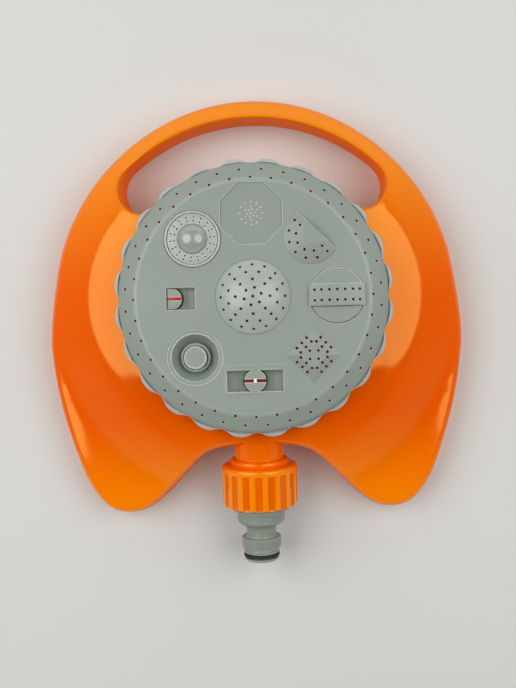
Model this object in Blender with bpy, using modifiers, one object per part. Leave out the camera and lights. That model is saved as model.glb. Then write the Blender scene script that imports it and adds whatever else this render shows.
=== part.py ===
"""Multi-pattern lawn sprinkler: a dial of spray roses that turns on a horseshoe base.

The base lies on the ground with the dial facing up (+Z), the carrying handle
towards +Y and the hose inlet towards -Y. Lengths are in metres. Sizes across the
dial and along the base are measured from the dial's own axis, which stands
DIAL_Y in front of the origin. The inlet pipe, the nut and the hose nipple lie on
one axis that falls gently towards the hose, and their sizes are measured along it.
"""
import math

import bmesh
import bpy
import numpy as np
from mathutils import Vector

GAP = 0.0003
FLAT_ANGLE = math.radians(0.1)

# Base: a moulded horseshoe with a round back, two feet and a handle opening
BASE_RADIUS = 0.0900
DIAL_Y = 0.0125
FOOT_OUTLINE = (
    (0.0924, -0.0100), (0.0918, -0.0280), (0.0877, -0.0500), (0.0803, -0.0735),
    (0.0745, -0.0847), (0.0675, -0.0920), (0.0590, -0.0942), (0.0505, -0.0924),
    (0.0425, -0.0864), (0.0330, -0.0768), (0.0242, -0.0682), (0.0160, -0.0648),
)
ARCH_Y = -0.0640
SHOULDER_FLAT = 0.0009
WALL_DRAFT = 0.0012
DOME = (
    (0.0460, 0.0338), (0.0560, 0.0322), (0.0640, 0.0298), (0.0705, 0.0276), (0.0760, 0.0250),
    (0.0840, 0.0209), (0.0915, 0.0172), (0.0970, 0.0159), (0.1050, 0.0149), (0.1160, 0.0139),
)
CROWN_RADIUS = DOME[0][0]
CROWN_HEIGHT = DOME[0][1]
EDGE_ROUND = 0.0026
WALL = 0.0024
HANDLE_WIDTH = 0.0100
OPENING_Y = 0.0380
OPENING_CORNER = 0.0090
RIB_THICKNESS = 0.0020
RIB_FOOT = 0.0080
RIB_START = 0.0100
RIB_ANGLES = (8, 172, 212, 328)

# Inlet: a pipe moulded with the base, falling towards the hose
INLET_TILT = math.radians(5)
INLET_HEIGHT = 0.0266
STEM_RADIUS = 0.0105
STEM_START = 0.0460
STEM_END = 0.0780
STEM_BORE = 0.0070
PIPE_RADIUS = 0.0080
PIPE_BORE = 0.0050
PIPE_END = 0.0140
GROOVE_RADIUS = 0.0093
GROOVE_START = 0.0745
GROOVE_END = 0.0763

# Water port and axle on the base's crown
PORT_RADIUS = 0.0240
PORT_POST = 0.0078
PORT_SEAT = 0.0053
PORT_SEAT_HEIGHT = 0.0306
PORT_BORE = 0.0034
POST_RADIUS = 0.0060
POST_TOP = 0.0396
POST_FOOT = 0.0180
SCREW_RADIUS = 0.0019

# Dial body: the scalloped rear half that the hand turns
REAR_BOTTOM = 0.0344
REAR_TOP = 0.0366
RIM_TOP = 0.0436
SCALLOPS = 24
SCALLOP_POINTS = 4
SCALLOP_RADIUS = 0.0573
SCALLOP_DEPTH = 0.00105
SCALLOP_CHAMFER = 0.0008
RIM_BORE = 0.0532
BOSS_RADIUS = 0.0090
BOSS_TOP = 0.0392
AXLE_BORE = POST_RADIUS + 0.0004
OFF_GRID = math.radians(1.25)
POSITIONS = 8
PORT_HOLE = 0.0032

# Dial cover: the smooth front half
COVER_RADIUS = 0.0552
COVER_BOTTOM = RIM_TOP + GAP
FACE_RADIUS = 0.0480
FACE_TOP = 0.0520
FACE_BOTTOM = 0.0498
RIM_HOLES = 36
RIM_OUTER_ROW = 0.0527
RIM_INNER_ROW = 0.0491
RIM_HOLE = 0.00055
RIM_SLOPE = math.radians(30)

# Chamber plate inside the dial, on which every insert stands
CHAMBER_RADIUS = 0.0524
CHAMBER_TOP = 0.0458
CHAMBER_BOTTOM = 0.0442
CHAMBER_WALL = 0.0014
CHAMBER_FOOT = REAR_TOP + 0.0004
TUBE_RADIUS = 0.0048
CORE_RADIUS = 0.0042
INSERT_BOTTOM = CHAMBER_TOP + GAP

# Spray patterns on the dial
PATTERN_RADIUS = 0.0342
CELL_RADIUS = 0.0116
HOLE_RADIUS = 0.0006
ROSE_RADIUS = 0.0153
ROSE_RISE = 0.0062
ROSE_WALL = 0.0016
ROSE_EDGE = FACE_TOP + 0.0002
ROSE_RINGS = ((6, 0.0036, 17), (8, 0.0070, 0), (12, 0.0102, 15), (16, 0.0131, 0))
MIST_FLAT = 0.01255
MIST_TOP = 0.0510
MIST_WALL = 0.0014
MIST_HOLE = 0.00035
MIST_RINGS = ((6, 0.0015, 10), (6, 0.0027, 30), (12, 0.0046, 0))
MOON_RADIUS = 0.0114
MOON_TOP_RADIUS = 0.0044
MOON_RISE = 0.0028
MOON_CHORD = 0.0032
MOON_ROWS = ((7, 0.0092, 30), (6, 0.0062, 36))
BAR_LENGTH = 0.0229
BAR_WIDTH = 0.0089
BAR_END_RISE = 0.0010
BAR_RISE = 0.0024
BAR_HOLES_X = (-0.0092, -0.0064, -0.0032, 0.0, 0.0032, 0.0064, 0.0092)
BAR_HOLES_Y = 0.00213
DIAMOND_RADIUS = 0.0114
DIAMOND_TOP = 0.0060
DIAMOND_RISE = 0.0017
DIAMOND_QUARTER = (
    (0.0029, 0.0070), (0.0049, 0.0049), (0.0070, 0.0029), (0.00105, 0.0054),
    (0.0054, 0.00105), (0.00325, 0.00325), (0.0017, 0.0017),
)
RING_HOLES = 18
RING_ROWS = (0.0090, 0.0074)
RING_HOLE = 0.0003
RING_HOLES_START = 5
BUTTON_RADIUS = 0.0061
BUTTON_RISE = 0.0029
WINDOW_LENGTH = 0.0230
WINDOW_HEIGHT = 0.0086
SLOT_WIDTH = 0.00135
SLOT_WEB = 0.0011
NOZZLE_RADIUS = 0.0045
PAN_TOP = 0.0495
PAN_FLOOR = 0.0472
SINGLE_OUTER = 0.0353
SINGLE_INNER = 0.0237
SINGLE_HEIGHT = 0.0089
SINGLE_NOZZLE = 0.0337
SINGLE_TOP = 0.0512
WELL_RADIUS = 0.0092
JET_RADIUS = 0.0047
JET_SHOULDER = 0.0061

# Swivel coupling, measured along the inlet axis from the dial's axis
NECK_RADIUS = 0.01305
NECK_START = 0.0694
NUT_START = 0.0720
NUT_RADIUS = 0.0167
NUT_END = 0.0896
NUT_SOCKET = 0.0126
NUT_SHOULDER = 0.0743
NUT_FLUTES = 18
FLUTE_START = 0.0748
FLUTE_RADIUS = 0.0022
FLUTE_DEPTH = 0.0010
WASHER_START = 0.0783
FILTER_START = 0.0806
FILTER_RINGS = ((6, 0.0036, 0), (12, 0.0070, 15))
NIPPLE_START = 0.0819
NIPPLE_BORE = 0.0046
HEX_START = 0.0912
HEX_END = 0.0980
HEX_ACROSS = 0.0205
NIPPLE_END = 0.11476
RING_GROOVE = 0.1100

ORANGE = (0.80, 0.16, 0.01)
GREY = (0.34, 0.38, 0.35)
DARK_GREY = (0.10, 0.11, 0.11)
RED = (0.40, 0.01, 0.01)
BLACK = (0.02, 0.02, 0.02)
STEEL = (0.55, 0.55, 0.57)


def clear_scene():
    for old in list(bpy.data.objects):
        bpy.data.objects.remove(old)


def new_collection(name):
    collection = bpy.data.collections.new(name)
    bpy.context.scene.collection.children.link(collection)
    return collection


clear_scene()
PARTS = new_collection("multi_pattern_sprinkler")
CUTTERS = new_collection("cutters")


def new_empty(name, location, rotation=(0, 0, 0)):
    empty = bpy.data.objects.new(name, None)
    empty.location = location
    empty.rotation_euler = rotation
    PARTS.objects.link(empty)
    return empty


DIAL_AXIS = new_empty("dial_axis", (0, DIAL_Y, 0))
INLET_AXIS = new_empty("inlet_axis", (0, DIAL_Y, INLET_HEIGHT), (INLET_TILT - math.pi / 2, 0, 0))


def paint(obj, colour, roughness, metallic=0.0):
    """Give a sub-part its own plastic, rubber or metal."""
    material = bpy.data.materials.new(obj.name + "_finish")
    material.use_nodes = True
    shader = material.node_tree.nodes["Principled BSDF"]
    shader.inputs["Base Color"].default_value = (*colour, 1)
    shader.inputs["Roughness"].default_value = roughness
    shader.inputs["Metallic"].default_value = metallic
    obj.data.materials.append(material)
    return obj


def smooth(obj, degrees=30):
    """Join the facets that lie in one plane and shade the rest as smooth surfaces."""
    flats = obj.modifiers.new("join_flat_facets", "DECIMATE")
    flats.decimate_type = "DISSOLVE"
    flats.angle_limit = FLAT_ANGLE
    obj.data.shade_smooth()
    obj.data.set_sharp_from_angle(angle=math.radians(degrees))
    return obj


def place(obj, parent=None, location=(0, 0, 0), turn=0.0):
    obj.parent = parent
    obj.location = location
    obj.rotation_euler = (0, 0, turn)
    return obj


def polar(radius, degrees):
    angle = math.radians(degrees)
    return radius * math.cos(angle), radius * math.sin(angle)


def turned(name, profile, steps, closed=False):
    """A turned piece: the profile's (radius, height) points run down its outer side."""
    mesh = bpy.data.meshes.new(name)
    points = [(radius, 0, height) for radius, height in profile]
    edges = [(i, i + 1) for i in range(len(points) - 1)]
    if closed:
        edges.append((len(points) - 1, 0))
    mesh.from_pydata(points, edges, [])
    obj = bpy.data.objects.new(name, mesh)
    PARTS.objects.link(obj)
    screw = obj.modifiers.new("turn", "SCREW")
    screw.axis = "Z"
    screw.angle = 2 * math.pi
    screw.steps = steps
    screw.render_steps = steps
    screw.use_merge_vertices = True
    screw.merge_threshold = 0.00001
    screw.use_smooth_shade = False
    return obj


def plate(name, outlines, bottom, top, chamfer=0.0):
    """A flat piece from closed outlines; an outline inside another one is a hole."""
    curve = bpy.data.curves.new(name, "CURVE")
    curve.dimensions = "2D"
    curve.fill_mode = "BOTH"
    curve.extrude = (top - bottom) / 2 - chamfer
    curve.bevel_depth = chamfer
    curve.bevel_resolution = 0
    curve.offset = -chamfer
    for outline in outlines:
        spline = curve.splines.new("POLY")
        spline.points.add(len(outline) - 1)
        for point, (x, y) in zip(spline.points, outline):
            point.co = (x, y, 0, 1)
        spline.use_cyclic_u = True
    guide = bpy.data.objects.new(name + "_outline", curve)
    guide.location = (0, 0, (top + bottom) / 2)
    PARTS.objects.link(guide)
    bpy.context.view_layer.update()
    depsgraph = bpy.context.evaluated_depsgraph_get()
    mesh = bpy.data.meshes.new_from_object(guide.evaluated_get(depsgraph))
    mesh.transform(guide.matrix_world)
    bpy.data.objects.remove(guide)
    welded = bmesh.new()
    welded.from_mesh(mesh)
    bmesh.ops.remove_doubles(welded, verts=welded.verts, dist=0.000002)
    bmesh.ops.recalc_face_normals(welded, faces=welded.faces)
    welded.to_mesh(mesh)
    welded.free()
    mesh.name = name
    obj = bpy.data.objects.new(name, mesh)
    PARTS.objects.link(obj)
    return obj


def pegs(name, radius, places, sides, length):
    """Round pegs in one mesh, each centred on a point and turned to a direction."""
    shapes = bmesh.new()
    for centre, direction in places:
        turn = Vector(direction).to_track_quat("Z", "Y").to_matrix().to_4x4()
        turn.translation = Vector(centre)
        bmesh.ops.create_cone(shapes, cap_ends=True, segments=sides, radius1=radius,
                              radius2=radius, depth=length, matrix=turn)
    mesh = bpy.data.meshes.new(name)
    shapes.to_mesh(mesh)
    shapes.free()
    obj = bpy.data.objects.new(name, mesh)
    PARTS.objects.link(obj)
    return obj


def block(name, size, centre):
    """A rectangular block with its size in its mesh."""
    shape = bmesh.new()
    bmesh.ops.create_cube(shape, size=1)
    bmesh.ops.scale(shape, vec=size, verts=shape.verts)
    bmesh.ops.translate(shape, vec=centre, verts=shape.verts)
    mesh = bpy.data.meshes.new(name)
    shape.to_mesh(mesh)
    shape.free()
    obj = bpy.data.objects.new(name, mesh)
    PARTS.objects.link(obj)
    return obj


def combine(obj, tool, operation):
    """Cut, join or trim a piece with a tool, which leaves the parts' collection."""
    boolean = obj.modifiers.new(tool.name, "BOOLEAN")
    boolean.operation = operation
    boolean.solver = "EXACT"
    boolean.object = tool
    tool.hide_render = True
    tool.display_type = "WIRE"
    if tool.name in PARTS.objects:
        PARTS.objects.unlink(tool)
        CUTTERS.objects.link(tool)
    return obj


def circle(radius, sides, centre=(0, 0)):
    step = 360 / sides
    return [(centre[0] + x, centre[1] + y)
            for x, y in (polar(radius, step * i) for i in range(sides))]


def rectangle(x0, y0, x1, y1):
    return [(x0, y0), (x1, y0), (x1, y1), (x0, y1)]


def arc(radius, start, end, count):
    return [polar(radius, start + (end - start) * i / count) for i in range(count + 1)]


def dome_cap(radius, rise, edge, steps):
    """Profile points of a round cap, from its top down to its edge."""
    ball = (radius ** 2 + rise ** 2) / (2 * rise)
    reach = math.asin(radius / ball)
    points = []
    for i in range(steps + 1):
        angle = reach * i / steps
        points.append((ball * math.sin(angle), edge + rise - ball * (1 - math.cos(angle))))
    return points


# Base

def spline_through(points, spans):
    """Points of a smooth curve through control points (centripetal, uniform spans)."""
    guides = [np.array(p) for p in points]
    curve = []
    for i in range(1, len(guides) - 2):
        before, start, end, after = guides[i - 1:i + 3]
        for k in range(spans):
            t = k / spans
            curve.append(tuple(0.5 * (2 * start + (end - before) * t
                                      + (2 * before - 5 * start + 4 * end - after) * t ** 2
                                      + (3 * start - before - 3 * end + after) * t ** 3)))
    return curve


def base_outline(arcs, spans):
    """The base's outline round the dial's axis, anticlockwise from the right side."""
    back = []
    for i in range(arcs + 1):
        degrees = 12 + 78 * i / arcs
        flatter = SHOULDER_FLAT * math.sin(math.radians(2 * degrees)) ** 2
        back.append(polar(BASE_RADIUS - flatter, degrees))
    foot = [back[1], back[0], *FOOT_OUTLINE, (0, ARCH_Y), (-FOOT_OUTLINE[-1][0], FOOT_OUTLINE[-1][1])]
    right = back[:0:-1] + spline_through(foot, spans)
    left = [(-x, y) for x, y in reversed(right) if x > 0.0001]
    outline = right + [(0, ARCH_Y)] + left
    return outline[::-1]


def inset(outline, distance):
    """The outline moved inwards by a distance, square to itself."""
    moved = []
    for i, point in enumerate(outline):
        before = Vector(outline[i - 1])
        after = Vector(outline[(i + 1) % len(outline)])
        along = (after - before).normalized()
        moved.append((point[0] - along.y * distance, point[1] + along.x * distance))
    return moved


def dome_height(x, y):
    radii, heights = zip(*DOME)
    return float(np.interp(math.hypot(x, y), radii, heights))


def base_block(name, shrink, bottom, outline, edge_slopes, crown_shares):
    """The base's outer form as a solid, made smaller by a wall's thickness."""
    rings = [[(x, y, bottom) for x, y in inset(outline, shrink)]]
    for slope in edge_slopes:
        angle = math.radians(slope)
        depth = shrink + WALL_DRAFT + EDGE_ROUND * (1 - math.cos(angle))
        fall = shrink + EDGE_ROUND * (1 - math.sin(angle))
        rings.append([(x, y, dome_height(x, y) - fall) for x, y in inset(outline, depth)])
    rim = inset(outline, shrink + WALL_DRAFT + EDGE_ROUND)
    for share in crown_shares:
        ring = []
        for x, y in rim:
            crown = Vector((x, y)).normalized() * CROWN_RADIUS
            px = x + (crown.x - x) * share
            py = y + (crown.y - y) * share
            ring.append((px, py, dome_height(px, py) - shrink))
        rings.append(ring)
    shape = bmesh.new()
    loops = []
    for ring in rings:
        verts = [shape.verts.new(point) for point in ring]
        loops.append([shape.edges.new((verts[i - 1], verts[i])) for i in range(len(verts))])
    for lower, upper in zip(loops, loops[1:]):
        bmesh.ops.bridge_loops(shape, edges=lower + upper)
    bmesh.ops.holes_fill(shape, edges=loops[0] + loops[-1], sides=0)
    bmesh.ops.recalc_face_normals(shape, faces=shape.faces)
    mesh = bpy.data.meshes.new(name)
    shape.to_mesh(mesh)
    shape.free()
    obj = bpy.data.objects.new(name, mesh)
    PARTS.objects.link(obj)
    return obj


def opening_outline(grow):
    """The hand opening between the handle and the dial, widened by a distance."""
    outer = BASE_RADIUS - HANDLE_WIDTH + grow
    floor = OPENING_Y - grow
    corner = OPENING_CORNER + grow
    reach = outer - corner
    side = math.sqrt(reach ** 2 - (floor + corner) ** 2)
    tip = math.degrees(math.atan2(floor + corner, side))
    top = arc(outer, tip, 180 - tip, 15)
    right = [(side + x, floor + corner + y) for x, y in arc(corner, -90, tip, 5)]
    left = [(-x, y) for x, y in reversed(right)]
    return right + top[1:-1] + left


def rib_tools():
    """Slabs that leave the stiffening ribs standing under the base's crown."""
    slabs = bmesh.new()
    length = BASE_RADIUS + 0.03 - RIB_START
    for degrees in RIB_ANGLES:
        slab = bmesh.ops.create_cube(slabs, size=1)["verts"]
        bmesh.ops.scale(slabs, vec=(length, RIB_THICKNESS, CROWN_HEIGHT), verts=slab)
        middle = polar(RIB_START + length / 2, degrees)
        height = RIB_FOOT + CROWN_HEIGHT / 2
        spin = Vector((*polar(1, degrees), 0)).to_track_quat("X", "Z").to_matrix()
        bmesh.ops.rotate(slabs, cent=(0, 0, 0), matrix=spin, verts=slab)
        bmesh.ops.translate(slabs, vec=(*middle, height), verts=slab)
    mesh = bpy.data.meshes.new("rib_slabs")
    slabs.to_mesh(mesh)
    slabs.free()
    obj = bpy.data.objects.new("rib_slabs", mesh)
    PARTS.objects.link(obj)
    return obj


def base_cavity():
    """The hollow under the base, less its pipe, port post, axle boss and ribs."""
    cavity = base_block("base_cavity", WALL, -0.01, base_outline(7, 1), (0, 90), (0.45, 1.0))
    place(cavity, DIAL_AXIS)
    grown = place(plate("opening_walls", [opening_outline(WALL)], -0.02, 0.05), DIAL_AXIS)
    pipe = turned("pipe_outside", [
        (0, -PIPE_END), (PIPE_RADIUS, -PIPE_END), (PIPE_RADIUS, -STEM_START),
        (STEM_RADIUS, -STEM_START - 0.004), (STEM_RADIUS, -0.072), (0, -0.072)], 24)
    place(pipe, INLET_AXIS)
    port = place(turned("port_post", [
        (0, 0.036), (PORT_POST, 0.036), (PORT_POST, 0.022), (0, 0.022)], 20),
        DIAL_AXIS, (0, -PORT_RADIUS, 0))
    boss = place(turned("axle_boss", [
        (0, 0.036), (0.0065, 0.036), (0.0062, POST_FOOT), (0, POST_FOOT)], 20), DIAL_AXIS)
    ribs = place(rib_tools(), DIAL_AXIS)
    for tool in (grown, ribs, pipe, port, boss):
        combine(cavity, tool, "DIFFERENCE")
    return cavity


def stem():
    """The inlet stem outside, with the groove for the nut's retaining ring."""
    return place(turned("stem_outside", [
        (0, -STEM_START), (STEM_RADIUS, -STEM_START), (STEM_RADIUS, -GROOVE_START),
        (GROOVE_RADIUS, -GROOVE_START), (GROOVE_RADIUS, -GROOVE_END),
        (STEM_RADIUS, -GROOVE_END), (STEM_RADIUS, -STEM_END), (0, -STEM_END)], 32), INLET_AXIS)


def base_shell():
    """The orange moulding: crown, feet, handle, inlet pipe, port and axle post."""
    base = base_block("base_shell", 0, 0, base_outline(9, 2), (0, 45, 90), (0.25, 0.5, 0.75, 1.0))
    place(base, DIAL_AXIS)
    opening = place(plate("hand_opening", [opening_outline(0)], -0.02, 0.05), DIAL_AXIS)
    post = place(turned("axle_post", [
        (0, POST_TOP), (POST_RADIUS - 0.0005, POST_TOP), (POST_RADIUS, POST_TOP - 0.0005),
        (POST_RADIUS, 0.030), (0, 0.030)], 24), DIAL_AXIS)
    bore = place(turned("inlet_bore", [
        (0, -PIPE_END - 0.0025), (PIPE_BORE, -PIPE_END - 0.0025), (PIPE_BORE, -STEM_START - 0.0015),
        (STEM_BORE, -STEM_START - 0.006), (STEM_BORE, -STEM_END - 0.002),
        (0, -STEM_END - 0.002)], 20), INLET_AXIS)
    port = place(turned("port_bore", [
        (0, 0.036), (PORT_SEAT, 0.036), (PORT_SEAT, PORT_SEAT_HEIGHT),
        (PORT_BORE, PORT_SEAT_HEIGHT), (PORT_BORE, 0.025), (0, 0.025)], 20),
        DIAL_AXIS, (0, -PORT_RADIUS, 0))
    screw_hole = place(turned("axle_screw_hole", [
        (0, 0.042), (SCREW_RADIUS + GAP, 0.042), (SCREW_RADIUS + GAP, 0.024), (0, 0.024)], 12),
        DIAL_AXIS)
    combine(base, opening, "DIFFERENCE")
    combine(base, stem(), "UNION")
    combine(base, post, "UNION")
    combine(base, base_cavity(), "DIFFERENCE")
    for tool in (bore, port, screw_hole):
        combine(base, tool, "DIFFERENCE")
    return paint(smooth(base), ORANGE, 0.25)


def port_seal():
    """The rubber ring that seals the port against the dial's back."""
    seal = turned("port_seal", [
        (0.0028, 0.0341), (0.0046, 0.0341), (0.0050, 0.0336), (0.0050, 0.0309),
        (0.0028, 0.0309)], 16, closed=True)
    return paint(smooth(place(seal, DIAL_AXIS, (0, -PORT_RADIUS, 0))), BLACK, 0.6)


def hub_washer():
    washer = turned("hub_washer", [
        (0.0023, 0.0411), (0.0086, 0.0411), (0.0086, 0.0399), (0.0023, 0.0399)], 18, closed=True)
    return paint(smooth(place(washer, DIAL_AXIS)), STEEL, 0.35, 1.0)


def hub_screw():
    """The screw that holds the dial on the axle post."""
    screw = turned("hub_screw", [
        (0, 0.0436), (0.0026, 0.0436), (0.0038, 0.0428), (0.0038, 0.0414),
        (SCREW_RADIUS, 0.0414), (SCREW_RADIUS, 0.0260), (0, 0.0248)], 12)
    return paint(smooth(place(screw, DIAL_AXIS)), STEEL, 0.35, 1.0)


# Dial

def scallop_outline():
    """Rounded lobes round the grip ring, with a valley at twelve o'clock."""
    points = SCALLOPS * SCALLOP_POINTS
    outline = []
    for i in range(points):
        lobe = -math.cos(2 * math.pi * i / SCALLOP_POINTS)
        outline.append(polar(SCALLOP_RADIUS + SCALLOP_DEPTH * lobe, 360 * i / points))
    return outline


def around(radius, height, count, start=0.0, direction=(0, 0, 1)):
    """Places evenly round the dial's axis, all pointing one way."""
    return [((*polar(radius, start + 360 * i / count), height), direction) for i in range(count)]


def dial_body():
    """The scalloped rear half of the dial, with its axle boss and eight ports."""
    body = plate("dial_body", [scallop_outline()], REAR_BOTTOM, RIM_TOP, SCALLOP_CHAMFER)
    place(body, DIAL_AXIS)
    pocket = turned("dial_body_pocket", [
        (0, 0.045), (RIM_BORE, 0.045), (RIM_BORE, REAR_TOP), (BOSS_RADIUS, REAR_TOP),
        (BOSS_RADIUS, BOSS_TOP), (0, BOSS_TOP)], 36)
    axle = turned("dial_axle_bore", [
        (0, 0.046), (AXLE_BORE, 0.046), (AXLE_BORE, 0.030), (0, 0.030)], 20)
    ports = pegs("dial_ports", PORT_HOLE, around(PORT_RADIUS, 0.035, POSITIONS), 6, 0.01)
    for tool in (pocket, axle, ports):
        combine(body, place(tool, DIAL_AXIS, turn=OFF_GRID), "DIFFERENCE")
    return paint(smooth(body, 40), GREY, 0.4)


def chamber_plate():
    """The red plate that splits the dial into chambers, with the two slot cores."""
    chamber = turned("chamber_plate", [
        (0, CHAMBER_TOP), (CHAMBER_RADIUS, CHAMBER_TOP), (CHAMBER_RADIUS, CHAMBER_FOOT),
        (CHAMBER_RADIUS - CHAMBER_WALL, CHAMBER_FOOT),
        (CHAMBER_RADIUS - CHAMBER_WALL, CHAMBER_BOTTOM), (0, CHAMBER_BOTTOM)], 32)
    place(chamber, DIAL_AXIS)
    middle = (CHAMBER_FOOT + CHAMBER_BOTTOM) / 2 + 0.0002
    tubes = pegs("chamber_tubes", TUBE_RADIUS, around(PORT_RADIUS, middle, POSITIONS), 6,
                 CHAMBER_BOTTOM - CHAMBER_FOOT + 0.0004)
    cores = plate("slot_cores", [circle(CORE_RADIUS, 20, (0, -PATTERN_RADIUS)),
                                 nozzle_outline(0.0035, 0.0003, 0.0035)],
                  CHAMBER_TOP - 0.0003, 0.0494)
    bores = pegs("chamber_bores", PORT_HOLE, around(PORT_RADIUS, middle, POSITIONS), 6, 0.02)
    combine(chamber, place(tubes, DIAL_AXIS), "UNION")
    combine(chamber, place(cores, DIAL_AXIS), "UNION")
    combine(chamber, place(bores, DIAL_AXIS), "DIFFERENCE")
    return paint(smooth(chamber), RED, 0.4)


def nozzle_outline(radius, flat, half_height):
    """The one-way nozzle seen from above: a disc cut flat behind and on both sides."""
    edge = math.degrees(math.asin(min(1, half_height / radius)))
    bulge = arc(radius, -edge, edge, 12)
    shape = bulge + [(-flat, half_height), (-flat, -half_height)]
    return [(x - SINGLE_NOZZLE, y) for x, y in shape]


def moon_outline(grow):
    """A round cut by a chord that faces outwards along +X."""
    radius = MOON_RADIUS + grow
    chord = MOON_CHORD + grow
    edge = math.degrees(math.acos(chord / radius))
    return arc(radius, edge, 360 - edge, 24)


def window_pockets():
    """The double fan's window on each side of its slotted disc."""
    half_length = WINDOW_LENGTH / 2
    half_height = WINDOW_HEIGHT / 2
    edge = math.degrees(math.asin(half_height / NOZZLE_RADIUS))
    right = arc(NOZZLE_RADIUS, edge, -edge, 10) + [(half_length, -half_height), (half_length, half_height)]
    left = [(-x, y) for x, y in right]
    return [[(x, y - PATTERN_RADIUS) for x, y in pocket] for pocket in (right, left)]


def moved(outline, angle, turn=0.0):
    """An outline turned about itself and set at an angle round the pattern circle."""
    cx, cy = polar(PATTERN_RADIUS, angle)
    cos = math.cos(math.radians(turn))
    sin = math.sin(math.radians(turn))
    return [(cx + x * cos - y * sin, cy + x * sin + y * cos) for x, y in outline]


def cover_windows():
    """Every cut-out in the cover's flat face, as one tool."""
    octagon = arc(MIST_FLAT / math.cos(math.pi / 8), 22.5, 337.5, 7)
    cell = circle(CELL_RADIUS + 2 * GAP, 26)
    outlines = [
        circle(ROSE_RADIUS + 2 * GAP, 28),
        moved(octagon, 90),
        moved(moon_outline(GAP), 45, 45),
        moved(cell, 0),
        moved(circle(DIAMOND_RADIUS + GAP * math.sqrt(2), 4), -45),
        moved(cell, 225),
        moved(cell, 135),
        rectangle(-SINGLE_OUTER, -SINGLE_HEIGHT / 2, -SINGLE_INNER, SINGLE_HEIGHT / 2),
        *window_pockets(),
    ]
    return plate("cover_windows", outlines, 0.047, 0.056)


def rim_holes():
    """Two staggered rows of holes on the sloping rim, square to it."""
    places = []
    for row, height, start in ((RIM_INNER_ROW, 0.0508, 0), (RIM_OUTER_ROW, 0.0488, 5)):
        for i in range(RIM_HOLES):
            angle = start + 360 * i / RIM_HOLES
            outward = polar(math.sin(RIM_SLOPE), angle)
            places.append(((*polar(row, angle), height), (*outward, math.cos(RIM_SLOPE))))
    return pegs("rim_holes", RIM_HOLE, places, 3, 0.006)


def dial_cover():
    """The smooth front half of the dial, open where its roses and nozzles sit."""
    cover = turned("dial_cover", [
        (0, FACE_TOP), (FACE_RADIUS - 0.0010, FACE_TOP), (0.0486, 0.05165),
        (0.0542, 0.0484), (0.0550, 0.0474), (COVER_RADIUS, COVER_BOTTOM),
        (COVER_RADIUS - 0.0020, COVER_BOTTOM), (0.0531, 0.0472), (0.0478, FACE_BOTTOM),
        (0, FACE_BOTTOM)], 42)
    place(cover, DIAL_AXIS, turn=OFF_GRID)
    slot_length = NOZZLE_RADIUS - SLOT_WEB / 2 + 0.0003
    combine(cover, place(cover_windows(), DIAL_AXIS), "DIFFERENCE")
    combine(cover, place(rim_holes(), DIAL_AXIS), "DIFFERENCE")
    for side in (-1, 1):
        centre = (side * (SLOT_WEB + slot_length) / 2, -PATTERN_RADIUS, 0.051)
        slot = block("fan_slot_%+d" % side, (slot_length, SLOT_WIDTH, 0.006), centre)
        combine(cover, place(slot, DIAL_AXIS), "DIFFERENCE")
    return paint(smooth(cover), GREY, 0.35)


def ring_places(rings, height):
    """The middle of a rose and its rings of holes, all pointing up."""
    places = [((0, 0, height), (0, 0, 1))]
    for count, radius, start in rings:
        places += around(radius, height, count, start)
    return places


def centre_rose():
    """The domed rose in the middle, drilled square to its dome."""
    inner = dome_cap(ROSE_RADIUS - ROSE_WALL, ROSE_RISE - 0.0010, ROSE_EDGE - 0.0006, 2)
    profile = dome_cap(ROSE_RADIUS, ROSE_RISE, ROSE_EDGE, 4) + [
        (ROSE_RADIUS, INSERT_BOTTOM), (ROSE_RADIUS - ROSE_WALL, INSERT_BOTTOM), *reversed(inner)]
    rose = turned("centre_rose", profile, 22)
    ball = (ROSE_RADIUS ** 2 + ROSE_RISE ** 2) / (2 * ROSE_RISE)
    drop = ROSE_EDGE + ROSE_RISE - ball
    places = []
    for (x, y, _), _ in ring_places(ROSE_RINGS, 0):
        outward = Vector((x, y, math.sqrt(ball ** 2 - x ** 2 - y ** 2)))
        places.append((outward + Vector((0, 0, drop)), outward))
    holes = pegs("centre_rose_holes", HOLE_RADIUS, places, 4, 0.006)
    combine(place(rose, DIAL_AXIS), place(holes, DIAL_AXIS), "DIFFERENCE")
    return paint(smooth(rose), GREY, 0.35)


def at_cell(obj, angle, turn=0.0):
    """Put a pattern's piece at its place on the dial."""
    return place(obj, DIAL_AXIS, (*polar(PATTERN_RADIUS, angle), 0), math.radians(turn))


def mist_plate():
    """The sunk eight-sided plate with its cluster of fine holes."""
    corner = MIST_FLAT / math.cos(math.pi / 8) - GAP
    outline = arc(corner, 22.5, 337.5, 7)
    mist = plate("mist_plate", [outline], INSERT_BOTTOM, MIST_TOP)
    hollow = plate("mist_hollow", [arc(corner - MIST_WALL, 22.5, 337.5, 7)], 0.044, MIST_TOP - MIST_WALL)
    spray = pegs("mist_holes", MIST_HOLE, ring_places(MIST_RINGS, MIST_TOP), 3, 0.006)
    combine(at_cell(mist, 90), at_cell(hollow, 90), "DIFFERENCE")
    combine(mist, at_cell(spray, 90), "DIFFERENCE")
    return paint(smooth(mist), GREY, 0.45)


def moon_solid(name, shrink):
    """A low cone cut by a chord, with a straight foot."""
    top = FACE_TOP + MOON_RISE - shrink
    cone = turned(name, [
        (0, top), (MOON_TOP_RADIUS, top), (MOON_RADIUS - shrink, FACE_TOP + 0.0002 - shrink),
        (MOON_RADIUS - shrink, INSERT_BOTTOM - shrink), (0, INSERT_BOTTOM - shrink)], 26)
    chord = MOON_CHORD - shrink
    trim = block(name + "_chord", (0.02, 0.03, 0.03), (chord + 0.01, 0, FACE_TOP))
    return combine(at_cell(cone, 45, 45), at_cell(trim, 45, 45), "DIFFERENCE")


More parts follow.
